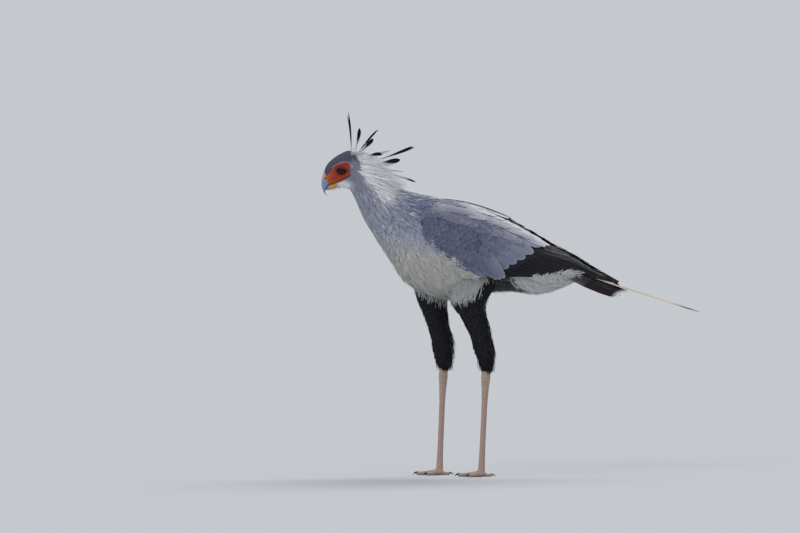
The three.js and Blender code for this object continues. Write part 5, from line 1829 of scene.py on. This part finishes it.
def flatten(piece):
    """Nothing of a foot reaches below the floor."""
    places = mesh_array(piece.data, "vertices", "co", 3)
    places[:, 2] = np.maximum(places[:, 2], 0)
    piece.data.vertices.foreach_set("co", places.ravel())
    piece.data.update()


def claw(side, toe, turn, length, radius):
    """One curved claw."""
    _, _, end, forward = toe_line(side, turn, length, radius)
    reach = CLAW_LENGTH * (1.1 if toe == "hind" else 1)
    u = np.linspace(0, 1, 18)
    bend = u * 1.25
    line = end + forward * (-3 + reach * np.sin(bend) * 0.9)[:, None]
    line[:, 2] = radius * 0.62 + 1.6 + 2.2 * np.sin(u * PI) - 4.4 * u * u
    radii = np.maximum(0.4, CLAW_RADIUS * (1 - 0.9 * u) * (radius / 7))
    rings = rod(line, radii, 14, 1.15, (-forward[1], forward[0], 0))
    rings[..., 2] = np.maximum(rings[..., 2], 0)
    mesh = Mesh()
    mesh.tube(rings, np.zeros(3))
    name = SIDES[side]
    mesh.wear(f"claw_{toe}_{name}", "claw", "claw_horn", [f"claw_{name}_{toe}"], coat=False)


# The bird

skin()
body_feathers()
hackle_streaks()
belly_down()
belly_fringe()
for side in SIDES:
    thigh_feathers(side)
    wing(side)
    wing_hem(side)
    wing_fluff(side)
    leg(side)
back_feathers()
tail_feathers()
crest()
mane()
bill()
eyes()
lids()
lashes()
bristles()


# Stage, light and camera

PIXEL = 3 * MM  # metres that one pixel of the photograph spans at the bird
PHOTO_WIDTH = 800
PHOTO_CENTRE = (400, 266.5)
ORIGIN = (512, 476)  # the pixel that shows the frame's origin
AIM = Vector(((PHOTO_CENTRE[0] - ORIGIN[0]) * PIXEL, 0, (ORIGIN[1] - PHOTO_CENTRE[1]) * PIXEL))
LENS = 400
SENSOR = 36
ELEVATION = math.radians(1.5)
DISTANCE = PHOTO_WIDTH * PIXEL * LENS / SENSOR
SEEN_TO = 400  # how far the camera sees in metres
FLOOR = 300  # half the floor's width in metres
SUN_SPREAD = 35  # how wide a soft sun is in degrees
# Suns: name, the side that they shine from in degrees round the bird, height, power and tint.
SUNS = [("key", 150, 52, 1.9, (1.0, 0.96, 0.9)), ("fill", -38, 34, 0.75, (1.0, 0.98, 0.96))]
ROOM = np.array([0.56, 0.585, 0.62])


def floor_finish():
    """A plain floor that sends back as much light as the room behind it shows."""
    f = Finish("studio_floor")
    suns = sum(power / PI * math.cos(math.radians(90 - height)) * np.array(tint)
               for _, _, height, power, tint in SUNS)
    return f.done((*(ROOM / (ROOM + suns)), 1), 1.0, None, Specular_IOR_Level=0.0)


def camera():
    """A long lens, level with the bird, as the photograph was taken."""
    data = bpy.data.cameras.new("camera")
    data.lens = LENS
    data.sensor_width = SENSOR
    data.clip_end = SEEN_TO
    eye = bpy.data.objects.new("camera", data)
    back = Vector((0, -math.cos(ELEVATION), math.sin(ELEVATION)))
    eye.location = AIM + back * DISTANCE
    eye.rotation_euler = (-back).to_track_quat("-Z", "Y").to_euler()
    bpy.context.scene.collection.objects.link(eye)
    bpy.context.scene.camera = eye


def stage():
    """The floor, the even light of the room and two wide, soft suns."""
    mesh = bpy.data.meshes.new("floor")
    corners = [(-FLOOR, -FLOOR, 0), (FLOOR, -FLOOR, 0), (FLOOR, FLOOR, 0), (-FLOOR, FLOOR, 0)]
    mesh.from_pydata(corners, [], [(0, 1, 2, 3)])
    mesh.materials.append(floor_finish())
    floor = bpy.data.objects.new("floor", mesh)
    bpy.context.scene.collection.objects.link(floor)
    world = bpy.data.worlds.new("studio")
    world.use_nodes = True
    world.node_tree.nodes["Background"].inputs[0].default_value = (*ROOM, 1)
    bpy.context.scene.world = world
    for name, turn, height, power, tint in SUNS:
        data = bpy.data.lights.new(name, "SUN")
        data.energy = power
        data.color = tint
        data.angle = math.radians(SUN_SPREAD)
        light = bpy.data.objects.new(name, data)
        turn, height = math.radians(turn), math.radians(height)
        back = Vector((math.sin(turn), -math.cos(turn), math.tan(height)))
        light.rotation_euler = back.to_track_quat("Z", "Y").to_euler()
        bpy.context.scene.collection.objects.link(light)
    bpy.context.scene.view_settings.view_transform = "Standard"


camera()
stage()
